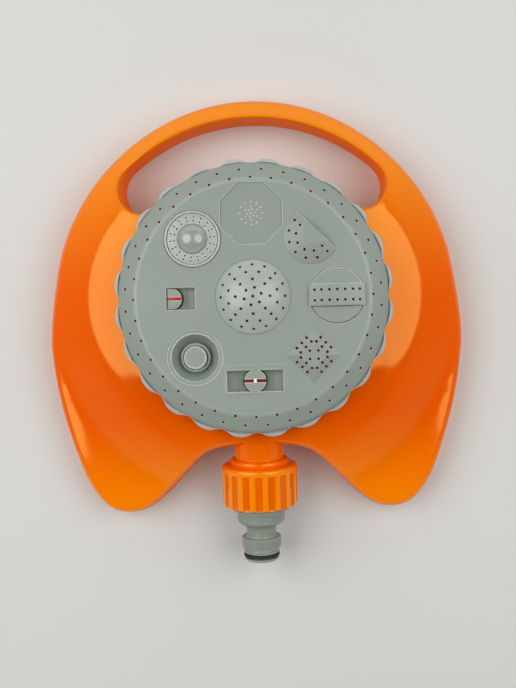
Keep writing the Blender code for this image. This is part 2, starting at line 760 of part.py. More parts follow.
def half_moon_rose():
    """The half-round rose, with its straight side towards the dial's rim."""
    moon = moon_solid("half_moon_rose", 0)
    hollow = moon_solid("half_moon_hollow", ROSE_WALL)
    places = []
    for count, radius, pitch in MOON_ROWS:
        for i in range(count):
            angle = 180 + pitch * (i - (count - 1) / 2)
            lean = (*polar(0.35, angle), 1)
            height = FACE_TOP + MOON_RISE * (MOON_RADIUS - radius) / (MOON_RADIUS - MOON_TOP_RADIUS)
            places.append(((*polar(radius, angle), height), lean))
    holes = pegs("half_moon_holes", HOLE_RADIUS, places, 4, 0.008)
    combine(moon, hollow, "DIFFERENCE")
    combine(moon, at_cell(holes, 45, 45), "DIFFERENCE")
    return paint(smooth(moon), GREY, 0.35)


def bar_ridge():
    """The raised bar across the round rose, its top arched from end to end."""
    half = BAR_LENGTH / 2
    top = []
    for i in range(9):
        x = half - BAR_LENGTH * i / 8
        rise = BAR_END_RISE + (BAR_RISE - BAR_END_RISE) * (1 - (x / half) ** 2)
        top.append((x, rise))
    side = [(-half, GAP), (half, GAP), *top]
    ridge = plate("bar_ridge", [side], -BAR_WIDTH / 2, BAR_WIDTH / 2)
    ridge.parent = DIAL_AXIS
    ridge.location = (PATTERN_RADIUS, 0, FACE_TOP)
    ridge.rotation_euler = (math.pi / 2, 0, 0)
    return ridge


def bar_rose():
    """The round rose crossed by a bar with two rows of holes."""
    disc = turned("bar_rose", [
        (0, FACE_TOP + 0.0004), (CELL_RADIUS - 0.0002, FACE_TOP + 0.0004),
        (CELL_RADIUS, FACE_TOP + 0.0002), (CELL_RADIUS, INSERT_BOTTOM), (0, INSERT_BOTTOM)], 26)
    hollow = block("bar_hollow", (0.0206, 0.0062, 0.008), (0, 0, FACE_TOP - 0.0034))
    places = [((x, y, FACE_TOP), (x * 18, 0, 1))
              for x in BAR_HOLES_X for y in (-BAR_HOLES_Y, BAR_HOLES_Y)]
    holes = pegs("bar_holes", HOLE_RADIUS, places, 4, 0.008)
    at_cell(disc, 0)
    combine(disc, bar_ridge(), "UNION")
    combine(disc, at_cell(hollow, 0), "DIFFERENCE")
    combine(disc, at_cell(holes, 0), "DIFFERENCE")
    return paint(smooth(disc), GREY, 0.35)


def diamond_rose():
    """The four-sided rose: a low pyramid with a flat middle."""
    top = FACE_TOP + DIAMOND_RISE
    diamond = turned("diamond_rose", [
        (0, top), (DIAMOND_TOP, top), (DIAMOND_RADIUS, FACE_TOP + 0.0002),
        (DIAMOND_RADIUS, INSERT_BOTTOM), (0, INSERT_BOTTOM)], 4)
    hollow = turned("diamond_hollow", [
        (0, FACE_BOTTOM + 0.0010), (0.0098, FACE_BOTTOM + 0.0010), (0.0098, 0.0450), (0, 0.0450)], 4)
    places = [((sx * x, sy * y, FACE_TOP), (0, 0, 1))
              for x, y in DIAMOND_QUARTER for sx in (-1, 1) for sy in (-1, 1)]
    holes = pegs("diamond_holes", HOLE_RADIUS, places, 4, 0.012)
    at_cell(diamond, -45)
    combine(diamond, at_cell(hollow, -45), "DIFFERENCE")
    combine(diamond, at_cell(holes, -45), "DIFFERENCE")
    return paint(smooth(diamond), GREY, 0.35)


def ring_rose():
    """The ring of fine holes round the button, inside a raised lip."""
    profile = [
        (0.0064, 0.0522), (0.0101, 0.0522), (0.0102, 0.0514), (0.0106, 0.0514),
        (0.0107, 0.0527), (0.0114, 0.0527), (CELL_RADIUS, 0.0524), (CELL_RADIUS, INSERT_BOTTOM),
        (0.0106, INSERT_BOTTOM), (0.0106, 0.0502), (0.0064, 0.0502)]
    ring = at_cell(turned("ring_rose", profile, 20, closed=True), 135)
    places = []
    for row in RING_ROWS:
        places += around(row, 0.0512, RING_HOLES, RING_HOLES_START)
    holes = pegs("ring_holes", RING_HOLE, places, 3, 0.006)
    combine(ring, at_cell(holes, 135), "DIFFERENCE")
    return paint(smooth(ring), GREY, 0.35)


def ring_button():
    """The round button in the middle of the ring of fine holes."""
    inner = dome_cap(BUTTON_RADIUS - 0.0012, BUTTON_RISE - 0.0010, 0.0520, 2)
    profile = dome_cap(BUTTON_RADIUS, BUTTON_RISE, 0.0523, 3) + [
        (BUTTON_RADIUS, INSERT_BOTTOM), (BUTTON_RADIUS - 0.0012, INSERT_BOTTOM), *reversed(inner)]
    return paint(smooth(at_cell(turned("ring_button", profile, 18), 135)), GREY, 0.2)


def trough(name, points, height, centre):
    """A channel's side view, drawn out across it."""
    tool = plate(name, [points], -height / 2, height / 2)
    tool.parent = DIAL_AXIS
    tool.location = centre
    tool.rotation_euler = (math.pi / 2, 0, 0)
    return tool


def double_fan_pan():
    """The pan under the long window, sloping up to both ends from the slotted disc."""
    half = WINDOW_LENGTH / 2
    outlines = [rectangle(-0.0126, -0.0054, 0.0126, 0.0054), circle(NOZZLE_RADIUS, 24)]
    pan = at_cell(plate("double_fan_pan", outlines, INSERT_BOTTOM, PAN_TOP), 270)
    slopes = [(-half, PAN_TOP + 0.001), (-half, PAN_TOP - 0.0006), (-0.0066, PAN_FLOOR),
              (0.0066, PAN_FLOOR), (half, PAN_TOP - 0.0006), (half, PAN_TOP + 0.001)]
    channel = trough("double_fan_channel", slopes, WINDOW_HEIGHT, (0, -PATTERN_RADIUS, 0))
    combine(pan, channel, "DIFFERENCE")
    return paint(smooth(pan), GREY, 0.4)


def single_fan_nozzle():
    """The one-way fan: a slotted nozzle behind the square window, with its pan."""
    outline = rectangle(-0.0384, -0.0056, -0.0222, 0.0056)
    pan = place(plate("single_fan_nozzle", [outline], INSERT_BOTTOM, PAN_TOP), DIAL_AXIS)
    slopes = [(-SINGLE_OUTER, PAN_TOP + 0.001), (-SINGLE_OUTER, PAN_FLOOR), (-0.0275, PAN_FLOOR),
              (-SINGLE_INNER, PAN_TOP - 0.0006), (-SINGLE_INNER, PAN_TOP + 0.001)]
    channel = trough("single_fan_channel", slopes, SINGLE_HEIGHT, (0, 0, 0))
    nozzle = plate("single_fan_post", [nozzle_outline(NOZZLE_RADIUS, 0.0013, 0.0041)],
                   INSERT_BOTTOM + 0.0004, SINGLE_TOP)
    hollow = plate("single_fan_hollow", [nozzle_outline(0.0038, 0.0006, 0.0038)], 0.044, 0.0498)
    slot = block("single_fan_slot", (0.0068, SLOT_WIDTH, 0.004), (-SINGLE_NOZZLE + 0.0016, 0, 0.0514))
    combine(pan, channel, "DIFFERENCE")
    combine(pan, place(nozzle, DIAL_AXIS), "UNION")
    combine(pan, place(hollow, DIAL_AXIS), "DIFFERENCE")
    combine(pan, place(slot, DIAL_AXIS), "DIFFERENCE")
    return paint(smooth(pan), GREY, 0.4)


def jet_sleeve():
    """The funnel round the jet, with a low lip on the dial's face."""
    sleeve = turned("jet_sleeve", [
        (WELL_RADIUS, 0.0523), (0.0113, 0.0523), (CELL_RADIUS, 0.0521), (CELL_RADIUS, INSERT_BOTTOM),
        (0.0065, INSERT_BOTTOM), (0.0066, 0.0470)], 24, closed=True)
    return paint(smooth(at_cell(sleeve, 225)), GREY, 0.4)


def jet_nozzle():
    """The capped post in the funnel, on its shoulder ring."""
    nozzle = turned("jet_nozzle", [
        (0, 0.0522), (JET_RADIUS - 0.0004, 0.0522), (JET_RADIUS, 0.0518), (JET_RADIUS, 0.0468),
        (0.0051, 0.0468), (0.0053, 0.0474), (JET_SHOULDER - 0.0002, 0.0474),
        (JET_SHOULDER, 0.0471), (JET_SHOULDER, INSERT_BOTTOM), (0, INSERT_BOTTOM)], 18)
    return paint(smooth(at_cell(nozzle, 225)), GREY, 0.35)


# Swivel coupling

def swivel_nut():
    """The fluted nut that turns on the stem."""
    nut = turned("swivel_nut", [
        (0.0108, -NECK_START), (0.0126, -NECK_START), (NECK_RADIUS, -NECK_START - 0.0005),
        (NECK_RADIUS, -NUT_START), (NUT_RADIUS - 0.0009, -NUT_START),
        (NUT_RADIUS, -NUT_START - 0.0009), (NUT_RADIUS, -NUT_END + 0.0006),
        (NUT_RADIUS - 0.0006, -NUT_END), (NUT_SOCKET, -NUT_END), (NUT_SOCKET, -NUT_SHOULDER),
        (0.0108, -NUT_SHOULDER)], 36, closed=True)
    length = 0.02
    middle = -FLUTE_START - length / 2
    centre = NUT_RADIUS + FLUTE_RADIUS - FLUTE_DEPTH
    flutes = pegs("nut_flutes", FLUTE_RADIUS, around(centre, middle, NUT_FLUTES, 10), 6, length)
    combine(place(nut, INLET_AXIS), place(flutes, INLET_AXIS), "DIFFERENCE")
    return paint(smooth(nut), ORANGE, 0.25)


def retaining_ring():
    """The split ring in the stem's groove that the nut turns against."""
    ring = turned("retaining_ring", [
        (0.0096, -0.0747), (0.0123, -0.0747), (0.0123, -0.0760), (0.0096, -0.0760)], 20, closed=True)
    gap = block("retaining_ring_gap", (0.003, 0.01, 0.01), (0, 0.011, -0.0753))
    combine(place(ring, INLET_AXIS), place(gap, INLET_AXIS), "DIFFERENCE")
    return paint(smooth(ring), DARK_GREY, 0.5)


def inlet_washer():
    washer = turned("inlet_washer", [
        (0.0065, -WASHER_START), (0.0122, -WASHER_START), (0.0122, -WASHER_START - 0.0020),
        (0.0065, -WASHER_START - 0.0020)], 20, closed=True)
    return paint(smooth(place(washer, INLET_AXIS)), BLACK, 0.7)


def inlet_filter():
    """The perforated disc that keeps grit out of the roses."""
    holes = [circle(0.0011, 3, spot[0][:2]) for spot in ring_places(FILTER_RINGS, 0)]
    disc = plate("inlet_filter", [circle(0.0122, 20), *holes], -FILTER_START - 0.0010, -FILTER_START)
    return paint(smooth(place(disc, INLET_AXIS)), DARK_GREY, 0.5)


def hose_nipple():
    """The push-fit nipple: threaded plug, hexagon, neck, collar and nose."""
    nipple = turned("hose_nipple", [
        (0.0092, -NIPPLE_START), (0.0122, -NIPPLE_START), (0.0122, -0.0893), (0.0115, -0.0899),
        (0.0115, -HEX_START), (0.0098, -HEX_START), (0.0098, -HEX_END), (0.0066, -0.0988),
        (0.0066, -0.1038), (0.00875, -0.1047), (0.00875, -0.1073), (0.00785, -0.1079),
        (0.00785, -RING_GROOVE), (0.0063, -RING_GROOVE), (0.0063, -RING_GROOVE - 0.0024),
        (0.00785, -RING_GROOVE - 0.0024), (0.00785, -0.1140), (0.0072, -NIPPLE_END),
        (NIPPLE_BORE, -NIPPLE_END), (NIPPLE_BORE, -0.0905), (0.0092, -0.0840)], 18, closed=True)
    place(nipple, INLET_AXIS)
    corner = HEX_ACROSS / 2 / math.cos(math.pi / 6)
    hexagon = plate("nipple_hexagon", [circle(corner, 6), circle(0.0085, 20)],
                    -HEX_END, -HEX_START + 0.0002)
    combine(nipple, place(hexagon, INLET_AXIS), "UNION")
    return paint(smooth(nipple), GREY, 0.4)


def nipple_o_ring():
    section = arc(0.0007, 90, -270, 5)[:-1]
    profile = [(0.0073 + x, -RING_GROOVE - 0.0012 + y) for x, y in section]
    ring = turned("nipple_o_ring", profile, 18, closed=True)
    return paint(smooth(place(ring, INLET_AXIS)), BLACK, 0.5)


def build_sprinkler():
    base_shell()
    port_seal()
    hub_washer()
    hub_screw()
    dial_body()
    chamber_plate()
    dial_cover()
    centre_rose()
    mist_plate()
    half_moon_rose()
    bar_rose()
    diamond_rose()
    ring_rose()
    ring_button()
    double_fan_pan()
    single_fan_nozzle()
    jet_sleeve()
    jet_nozzle()
    swivel_nut()
    retaining_ring()
    inlet_washer()
    inlet_filter()
    hose_nipple()
    nipple_o_ring()


build_sprinkler()
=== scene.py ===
"""Looks of the multi-pattern lawn sprinkler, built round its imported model.

Shapes are drawn in millimetres. Pieces of the dial and the base are drawn round the
dial's axis, and those of the hose coupling along the inlet's axis, which falls five
degrees towards the hose. They turn to metres and go to their place in fit().
"""
import math

import bmesh
import bpy
import numpy as np
from mathutils import Matrix, Vector
from mathutils.geometry import delaunay_2d_cdt


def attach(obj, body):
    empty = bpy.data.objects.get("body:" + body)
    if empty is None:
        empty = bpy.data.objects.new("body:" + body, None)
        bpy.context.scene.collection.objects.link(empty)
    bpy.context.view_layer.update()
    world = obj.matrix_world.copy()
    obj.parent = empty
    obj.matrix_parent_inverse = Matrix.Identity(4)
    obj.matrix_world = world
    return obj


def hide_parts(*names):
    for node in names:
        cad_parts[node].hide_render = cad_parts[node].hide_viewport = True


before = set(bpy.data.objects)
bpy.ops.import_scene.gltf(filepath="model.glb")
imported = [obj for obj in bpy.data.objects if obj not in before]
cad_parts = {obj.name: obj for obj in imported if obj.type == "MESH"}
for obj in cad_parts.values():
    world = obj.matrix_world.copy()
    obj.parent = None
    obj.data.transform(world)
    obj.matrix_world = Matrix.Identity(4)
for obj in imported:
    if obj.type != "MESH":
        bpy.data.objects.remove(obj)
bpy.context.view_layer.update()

MM = 0.001
DIAL = Matrix.Translation((0, 12.5, 0))
INLET_TILT = Matrix.Translation((0, 0, 26.6)) @ Matrix.Rotation(math.radians(-85), 4, "X")
INLET = DIAL @ INLET_TILT
# The hairline gap between a piece and the window that it fills
SEAM = 0.04


# Drawing helpers

def polar(radius, degrees):
    angle = math.radians(degrees)
    return radius * math.cos(angle), radius * math.sin(angle)


def arc(radius, start, end, count):
    return [polar(radius, start + (end - start) * i / count) for i in range(count + 1)]


def circle(radius, sides):
    return arc(radius, 0, 360 - 360 / sides, sides - 1)


def rectangle(x0, y0, x1, y1, corner=0.0):
    """A rectangle's outline, with its corners rounded where a radius is given."""
    if not corner:
        return [(x0, y0), (x1, y0), (x1, y1), (x0, y1)]
    outline = []
    middles = ((x1 - corner, y1 - corner), (x0 + corner, y1 - corner),
               (x0 + corner, y0 + corner), (x1 - corner, y0 + corner))
    for quarter, (cx, cy) in enumerate(middles):
        outline += [(cx + x, cy + y) for x, y in arc(corner, 90 * quarter, 90 * quarter + 90, 4)]
    return outline


def grown(outline, distance):
    """An anticlockwise outline with each side moved outwards by a distance."""
    result = []
    for i, (x, y) in enumerate(outline):
        here = Vector((x, y))
        before = (here - Vector(outline[i - 1])).normalized()
        after = (Vector(outline[(i + 1) % len(outline)]) - here).normalized()
        along = (before + after).normalized()
        reach = distance / along.dot(after)
        result.append((x + along.y * reach, y - along.x * reach))
    return result


def inside(points, outline):
    """Which points lie inside a closed outline."""
    x, y = points.T
    hits = np.zeros(len(points), bool)
    for (x0, y0), (x1, y1) in zip(outline, outline[1:] + outline[:1]):
        if y0 != y1:
            hits ^= ((y0 > y) != (y1 > y)) & (x < (x1 - x0) * (y - y0) / (y1 - y0) + x0)
    return hits


def filled(rim, holes, spacing=0.0):
    """Points and triangles that fill an outline round its holes, the outlines' own points first."""
    loops = [rim, *holes]
    corners = [point for loop in loops for point in loop]
    extra = []
    if spacing:
        rows = np.arange(-110, 95, spacing * 0.866)
        grid = np.array([(x + (row % 2) * spacing / 2, y) for row, y in enumerate(rows)
                         for x in np.arange(-95, 95, spacing)])
        clearance = np.linalg.norm(grid[:, None] - np.array(corners)[None], axis=2).min(axis=1)
        keep = (clearance > spacing * 0.6) & inside(grid, rim)
        for hole in holes:
            keep &= ~inside(grid, hole)
        extra = grid[keep].tolist()
    edges = []
    start = 0
    for loop in loops:
        edges += [(start + i, start + (i + 1) % len(loop)) for i in range(len(loop))]
        start += len(loop)
    points = [Vector(point) for point in corners + extra]
    skin = delaunay_2d_cdt(points, edges, [], 0, 0.0001)
    placed = np.array([tuple(point) for point in skin[0]])
    triangles = np.array(skin[2])
    centres = placed[triangles].mean(axis=1)
    wanted = inside(centres, rim)
    for hole in holes:
        wanted &= ~inside(centres, hole)
    return placed, triangles[wanted]


def ring_of(shape, outline, height):
    return [shape.verts.new((x, y, height)) for x, y in outline]


def bridge(shape, rings):
    """Join rings of equal length, one to the next."""
    for lower, upper in zip(rings, rings[1:]):
        for i in range(len(lower)):
            shape.faces.new((lower[i - 1], lower[i], upper[i], upper[i - 1]))


def in_scene(name, data):
    """A new object of the scene that shows a mesh, a curve, a lamp or a camera."""
    thing = bpy.data.objects.new(name, data)
    bpy.context.scene.collection.objects.link(thing)
    return thing


def piece_from(name, shape):
    """Turn a drawn shape into a piece of the scene."""
    bmesh.ops.recalc_face_normals(shape, faces=shape.faces)
    mesh = bpy.data.meshes.new(name)
    shape.to_mesh(mesh)
    shape.free()
    return in_scene(name, mesh)


def evaluated(piece):
    """The mesh that a piece's curve or modifiers give."""
    bpy.context.view_layer.update()
    drawn = piece.evaluated_get(bpy.context.evaluated_depsgraph_get())
    return bpy.data.meshes.new_from_object(drawn)


def turn(name, profile, steps, form=None):
    """A turned piece from (radius, height) points. A form may pull the radius in by angle."""
    shape = bmesh.new()
    rings = []
    for radius, height in profile:
        if radius == 0:
            rings.append([shape.verts.new((0, 0, height))])
            continue
        ring = []
        for i in range(steps):
            degrees = 360 * i / steps
            reach = form(radius, height, degrees) if form else radius
            ring.append(shape.verts.new((*polar(reach, degrees), height)))
        rings.append(ring)
    pairs = list(zip(rings, rings[1:]))
    if profile[0][0] and profile[-1][0]:
        pairs.append((rings[-1], rings[0]))
    for upper, lower in pairs:
        for i in range(steps):
            after = i + 1
            corners = (upper[i % len(upper)], upper[after % len(upper)],
                       lower[after % len(lower)], lower[i % len(lower)])
            shape.faces.new(list(dict.fromkeys(corners)))
    return piece_from(name, shape)


def plate(name, outlines, bottom, top, edge=0.0):
    """A flat piece from closed outlines, with rounded edges. An outline inside is a hole."""
    curve = bpy.data.curves.new(name, "CURVE")
    curve.dimensions = "2D"
    curve.fill_mode = "BOTH"
    curve.extrude = (top - bottom) / 2 - edge
    curve.bevel_depth = edge
    curve.bevel_resolution = 2
    curve.offset = -edge
    for outline in outlines:
        spline = curve.splines.new("POLY")
        spline.points.add(len(outline) - 1)
        for point, (x, y) in zip(spline.points, outline):
            point.co = (x, y, 0, 1)
        spline.use_cyclic_u = True
    guide = in_scene(name + "_outline", curve)
    mesh = evaluated(guide)
    bpy.data.objects.remove(guide)
    shape = bmesh.new()
    shape.from_mesh(mesh)
    bpy.data.meshes.remove(mesh)
    bmesh.ops.remove_doubles(shape, verts=shape.verts, dist=0.002)
    bmesh.ops.translate(shape, vec=(0, 0, (top + bottom) / 2), verts=shape.verts)
    return piece_from(name, shape)


def stood(centre, direction):
    """The matrix that puts a piece on a point and turns it to a direction."""
    stand = Vector(direction).to_track_quat("Z", "Y").to_matrix().to_4x4()
    stand.translation = Vector(centre)
    return stand


def pegs(name, radius, places, sides, length):
    """Round pegs in one mesh, each centred on a point and turned to a direction."""
    shape = bmesh.new()
    for place in places:
        bmesh.ops.create_cone(shape, cap_ends=True, segments=sides, radius1=radius,
                              radius2=radius, depth=length, matrix=stood(*place))
    return piece_from(name, shape)


def collars(name, profile, places, sides):
    """Small rings in one mesh, each of one closed profile of (radius, height) points."""
    shape = bmesh.new()
    for place in places:
        stand = stood(*place)
        rings = []
        for radius, height in profile:
            flat = circle(radius, sides)
            rings.append([shape.verts.new(stand @ Vector((*point, height))) for point in flat])
        bridge(shape, [*rings, rings[0]])
    return piece_from(name, shape)


def block(name, low, high):
    shape = bmesh.new()
    bmesh.ops.create_cube(shape, size=1)
    size = Vector(high) - Vector(low)
    bmesh.ops.scale(shape, vec=size, verts=shape.verts)
    bmesh.ops.translate(shape, vec=Vector(low) + size / 2, verts=shape.verts)
    return piece_from(name, shape)


def moved(piece, matrix):
    piece.data.transform(matrix)
    return piece


def combine(piece, tool, operation="DIFFERENCE"):
    """Cut, join or trim a piece with a tool, and keep only the result."""
    boolean = piece.modifiers.new("join", "BOOLEAN")
    boolean.operation = operation
    boolean.solver = "EXACT"
    boolean.object = tool
    result = evaluated(piece)
    piece.modifiers.clear()
    piece.data = result
    bpy.data.objects.remove(tool)
    return piece


def soften(piece, width, chosen):
    """Round the chosen edges of a piece, as the mould's own edges are."""
    shape = bmesh.new()
    shape.from_mesh(piece.data)
    bmesh.ops.dissolve_limit(shape, angle_limit=math.radians(0.5), verts=shape.verts,
                             edges=shape.edges)
    edges = [edge for edge in shape.edges if edge.calc_face_angle(0) > math.radians(8)
             and chosen(*(vert.co for vert in edge.verts))]
    bmesh.ops.bevel(shape, geom=edges, offset=width, offset_type="OFFSET", segments=3,
                    profile=0.5, affect="EDGES", clamp_overlap=True)
    shape.to_mesh(piece.data)
    shape.free()
    return piece


def reach_of(centres):
    """How far places are from the axis that they are drawn round."""
    return np.hypot(centres[:, 0], centres[:, 1])


def mark(piece, name, measured):
    """Give every face a value for its material, measured from its centre."""
    values = piece.data.attributes.new(name, "FLOAT", "FACE")
    centres = np.array([face.center for face in piece.data.polygons])
    values.data.foreach_set("value", measured(centres).astype(float))


def mark_unhighlighted(piece, chosen):
    """Mark the faces that get no painted edge highlight, chosen by their centres."""
    mark(piece, "unhighlighted", chosen)


def fit(piece, where, nodes, material, crease=35, body="dial"):
    """Put a drawn piece in its place on its body, in the nodes' stead, with its finish."""
    piece.data.transform(Matrix.Scale(MM, 4) @ where)
    piece.data.shade_smooth()
    piece.data.set_sharp_from_angle(angle=math.radians(crease))
    piece.data.materials.clear()
    piece.data.materials.append(material)
    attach(piece, body)
    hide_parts(*nodes)


# Materials

def linear(code):
    """An sRGB hex colour as linear red, green, blue and alpha."""
    values = [int(code[i:i + 2], 16) / 255 for i in (1, 3, 5)]
    return [v / 12.92 if v <= 0.04045 else ((v + 0.055) / 1.055) ** 2.4 for v in values] + [1.0]


def add(tree, kind, settings=None, links=None):
    """Add a node, set its values, and link its inputs to outputs of other nodes."""
    node = tree.nodes.new(kind)
    for name, value in (settings or {}).items():
        if name in node.inputs:
            node.inputs[name].default_value = value
        else:
            setattr(node, name, value)
    for name, output in (links or {}).items():
        tree.links.new(output, node.inputs[name])
    return node


def new_material(name):
    """A material, its tree and the inputs of its shader."""
    material = bpy.data.materials.new(name)
    material.use_nodes = True
    tree = material.node_tree
    return material, tree, tree.nodes["Principled BSDF"].inputs


def ramp(tree, value, start=0.0, end=1.0, low=0.0, high=1.0, smooth=False):
    """A level that goes from low to high while a value goes from start to end."""
    settings = {"From Min": start, "From Max": end, "To Min": low}
    links = {"Value": value}
    (settings if isinstance(high, float) else links)["To Max"] = high
    if smooth:
        settings["interpolation_type"] = "SMOOTHSTEP"
    return add(tree, "ShaderNodeMapRange", settings, links).outputs["Result"]


def clouds(tree, place, size_mm, detail):
    """A cloudy level round a half, with clouds of one size."""
    settings = {"Scale": 1 / (size_mm * MM), "Detail": detail}
    return add(tree, "ShaderNodeTexNoise", settings, {"Vector": place}).outputs["Fac"]


def blended(tree, share, first, second):
    """A colour between two, by a share from 0 to 1."""
    mix = add(tree, "ShaderNodeMix", {"data_type": "RGBA"}, {"Factor": share})
    for socket, colour in ((mix.inputs[6], first), (mix.inputs[7], second)):
        if isinstance(colour, str):
            socket.default_value = linear(colour)
        else:
            tree.links.new(colour, socket)
    return mix.outputs[2]


def colour_turns(tree, place, tint, turns):
    """A colour that turns to others along an axis or by a value marked on the faces, mostly to paint
    light and shade.
    """
    for axis, start, end, far_colour in turns:
        if axis in ("X", "Y", "Z"):
            side = add(tree, "ShaderNodeSeparateXYZ", None, {"Vector": place}).outputs[axis]
        else:
            side = add(tree, "ShaderNodeAttribute", {"attribute_name": axis}).outputs["Fac"]
        share = ramp(tree, side, start * MM, end * MM, smooth=True)
        tint = blended(tree, share, tint, far_colour)
    return tint


def painted_edge_highlight(tree, tint, edge_colour, reach_mm):
    """A painted highlight along the edges: the colour turns paler where they bend, except on the faces
    marked unhighlighted.
    """
    flat = add(tree, "ShaderNodeNewGeometry").outputs["Normal"]
    settings = {"samples": 8, "Radius": reach_mm * MM}
    rounded = add(tree, "ShaderNodeBevel", settings).outputs["Normal"]
    bend = add(tree, "ShaderNodeVectorMath", {"operation": "DOT_PRODUCT"}, {0: flat, 1: rounded})
    unhighlighted = add(tree, "ShaderNodeAttribute", {"attribute_name": "unhighlighted"}).outputs["Fac"]
    most = ramp(tree, unhighlighted, low=1.0, high=0.0)
    share = ramp(tree, bend.outputs["Value"], *EDGE_BEND, high=most)
    return blended(tree, share, tint, edge_colour)


def bumped(tree, height, depth_mm, links=None):
    """A skin that rises by a depth where a level goes from 0 to 1."""
    settings = {"Strength": 1.0, "Distance": depth_mm * MM}
    return add(tree, "ShaderNodeBump", settings, {"Height": height, **(links or {})}).outputs["Normal"]


# How straight an edge's rounded normal still is where the painted edge highlight starts and where it is
# full
EDGE_BEND = (0.99, 0.92)
# How far up the skin faces at the top of an upright wall, and where the wall has ended
WALL_TURN = (0.2, 0.45)


def moulded(name, colour, shade, roughness, grain_mm, grain_depth_mm, wave=None, turns=(),
            dull_walls_painted_light=None, edge_highlight=None):
    """An injection moulding: its pigment, its skin's grain and the slow sink of its walls.

    Wave is the width and the depth of that sink. Each turn is an axis, or a value marked on
    the faces, with two places on it in millimetres and a colour: the colour turns to that one
    between them, which the materials mostly use to paint light and shade. Dull walls are the
    roughness of the upright walls, which drag on the mould as it opens, and a brighter colour
    painted on them as light. Edge highlight is the paler colour painted along the edges as a
    highlight, and how far it reaches in from them.
    """
    material, tree, inputs = new_material(name)
    inputs["IOR"].default_value = 1.5
    surface = add(tree, "ShaderNodeTexCoord").outputs
    place = surface["Object"]
    cloud = clouds(tree, place, 38, 3.0)
    tint = colour_turns(tree, place, blended(tree, cloud, colour, shade), turns)
    # Paint highlights along the edges, in a paler colour.
    if edge_highlight:
        tint = painted_edge_highlight(tree, tint, *edge_highlight)
    polish = ramp(tree, cloud, low=roughness * 0.85, high=roughness * 1.15)
    # Upright walls: duller, and a brighter colour painted on them as light in their shade.
    if dull_walls_painted_light:
        wall_roughness, painted_wall_light = dull_walls_painted_light
        up = add(tree, "ShaderNodeSeparateXYZ", None, {"Vector": surface["Normal"]}).outputs["Z"]
        tint = blended(tree, ramp(tree, up, *WALL_TURN), painted_wall_light, tint)
        polish = ramp(tree, up, *WALL_TURN, wall_roughness, polish)
        tree.links.new(ramp(tree, up, *WALL_TURN, 0.08, 0.5), inputs["Specular IOR Level"])
    skin = bumped(tree, clouds(tree, place, grain_mm, 2.0), grain_depth_mm)
    if wave:
        width_mm, depth_mm = wave
        skin = bumped(tree, clouds(tree, place, width_mm, 0.0), depth_mm, {"Normal": skin})
    for socket, output in (("Base Color", tint), ("Roughness", polish), ("Normal", skin)):
        tree.links.new(output, inputs[socket])
    return material


# Polished ABS from a mirror-smooth mould: it shows the lamps' edges sharply, a little
# bent where the walls have sunk over the ribs. The handle and the ends of the feet are
# painted yellower, a painted light, and the upright walls a brighter orange, a painted
# light in their shade.
orange_abs = moulded("polished_orange_abs", "#F05A00", "#EA5600", 0.09, 1.2, 0.0005, (16, 0.02),
                     (("Y", 8, 84, "#EE7E00"), ("Y", -34, -84, "#FA8200")), (0.6, "#FF8014"))
# The same ABS, yellower on the nut. The grooves between its ribs are painted darker as
# shade, and the nut turns redder towards its neck ring.
nut_abs = moulded("polished_nut_abs", "#FF8A00", "#FA8400", 0.10, 0.9, 0.0008, (9, 0.01),
                  (("groove", 0.2, 0.8, "#EA6400"), ("Y", -63, -58, "#F46200")))
# Pigment close to the skin warms what both reflect.
for polished in (orange_abs, nut_abs):
    orange_skin = polished.node_tree.nodes["Principled BSDF"]
    orange_skin.inputs["IOR"].default_value = 1.7
    orange_skin.inputs["Specular Tint"].default_value = (1.0, 0.8, 0.2, 1.0)
# The same ABS from a spark-eroded mould: an even satin, with painted highlights along its edges.
grey_abs = moulded("satin_grey_abs", "#8A948A", "#858F85", 0.42, 0.45, 0.012, edge_highlight=("#D9E0D6", 0.42))
# The big front moulding and the bar rose: their painted edge highlights reach further in, and a band
# along the rim's break is painted lighter, as a highlight.
face_abs = moulded("face_grey_abs", "#8A948A", "#858F85", 0.42, 0.45, 0.012,
                   turns=(("break_highlight", 0.2, 0.8, "#939D92"),), edge_highlight=("#D9E0D6", 0.62))
# The middle rose comes from a finer mould. Its grey is painted a shade lighter, as its soft highlight.
rose_abs = moulded("fine_grey_abs", "#A1ABA0", "#9CA69B", 0.30, 0.45, 0.006)
# The ring of fine holes is drawn in a lighter grey, with painted highlights along its lip's edges.
ring_abs = moulded("ring_grey_abs", "#A3ADA1", "#9EA89C", 0.38, 0.45, 0.008, edge_highlight=("#DCE3D9", 0.4))
# The wheel's back half comes from a smoother mould. Its paler, more neutral grey is painted light of its
# lit lobe tops, and its edges get painted highlights.
grip_abs = moulded("grip_grey_abs", "#B0B4AE", "#A9ADA7", 0.30, 0.5, 0.006, edge_highlight=("#DDE2DC", 0.45))
# Unpolished ABS of the sunk plate: dull and a shade darker.
sunk_abs = moulded("matt_grey_abs", "#869086", "#828C82", 0.55, 0.35, 0.015)
# Unpolished ABS of the fan pans, painted darker still as shade of their recess, and with painted
# highlights along its edges.
pan_abs = moulded("pan_grey_abs", "#818B82", "#7B857C", 0.5, 0.4, 0.01, edge_highlight=("#B4BCB1", 0.3))
# The jet's well: as-moulded ABS painted darker with depth, as shade in the well.
shaded_well_abs = moulded("well_painted_shade_abs", "#56625A", "#515D55", 0.5, 0.4, 0.01,
                   turns=(("Z", 46.8, 52.0, "#8A958C"),))
# Grey ABS of the button under clear lacquer: a bright reflection of both lamps.
button_abs = moulded("lacquered_grey_abs", "#929A8F", "#8D958A", 0.25, 0.8, 0.0004)
for name, value in (("Coat Weight", 1.0), ("Coat IOR", 1.52), ("Coat Roughness", 0.07)):
    button_abs.node_tree.nodes["Principled BSDF"].inputs[name].default_value = value
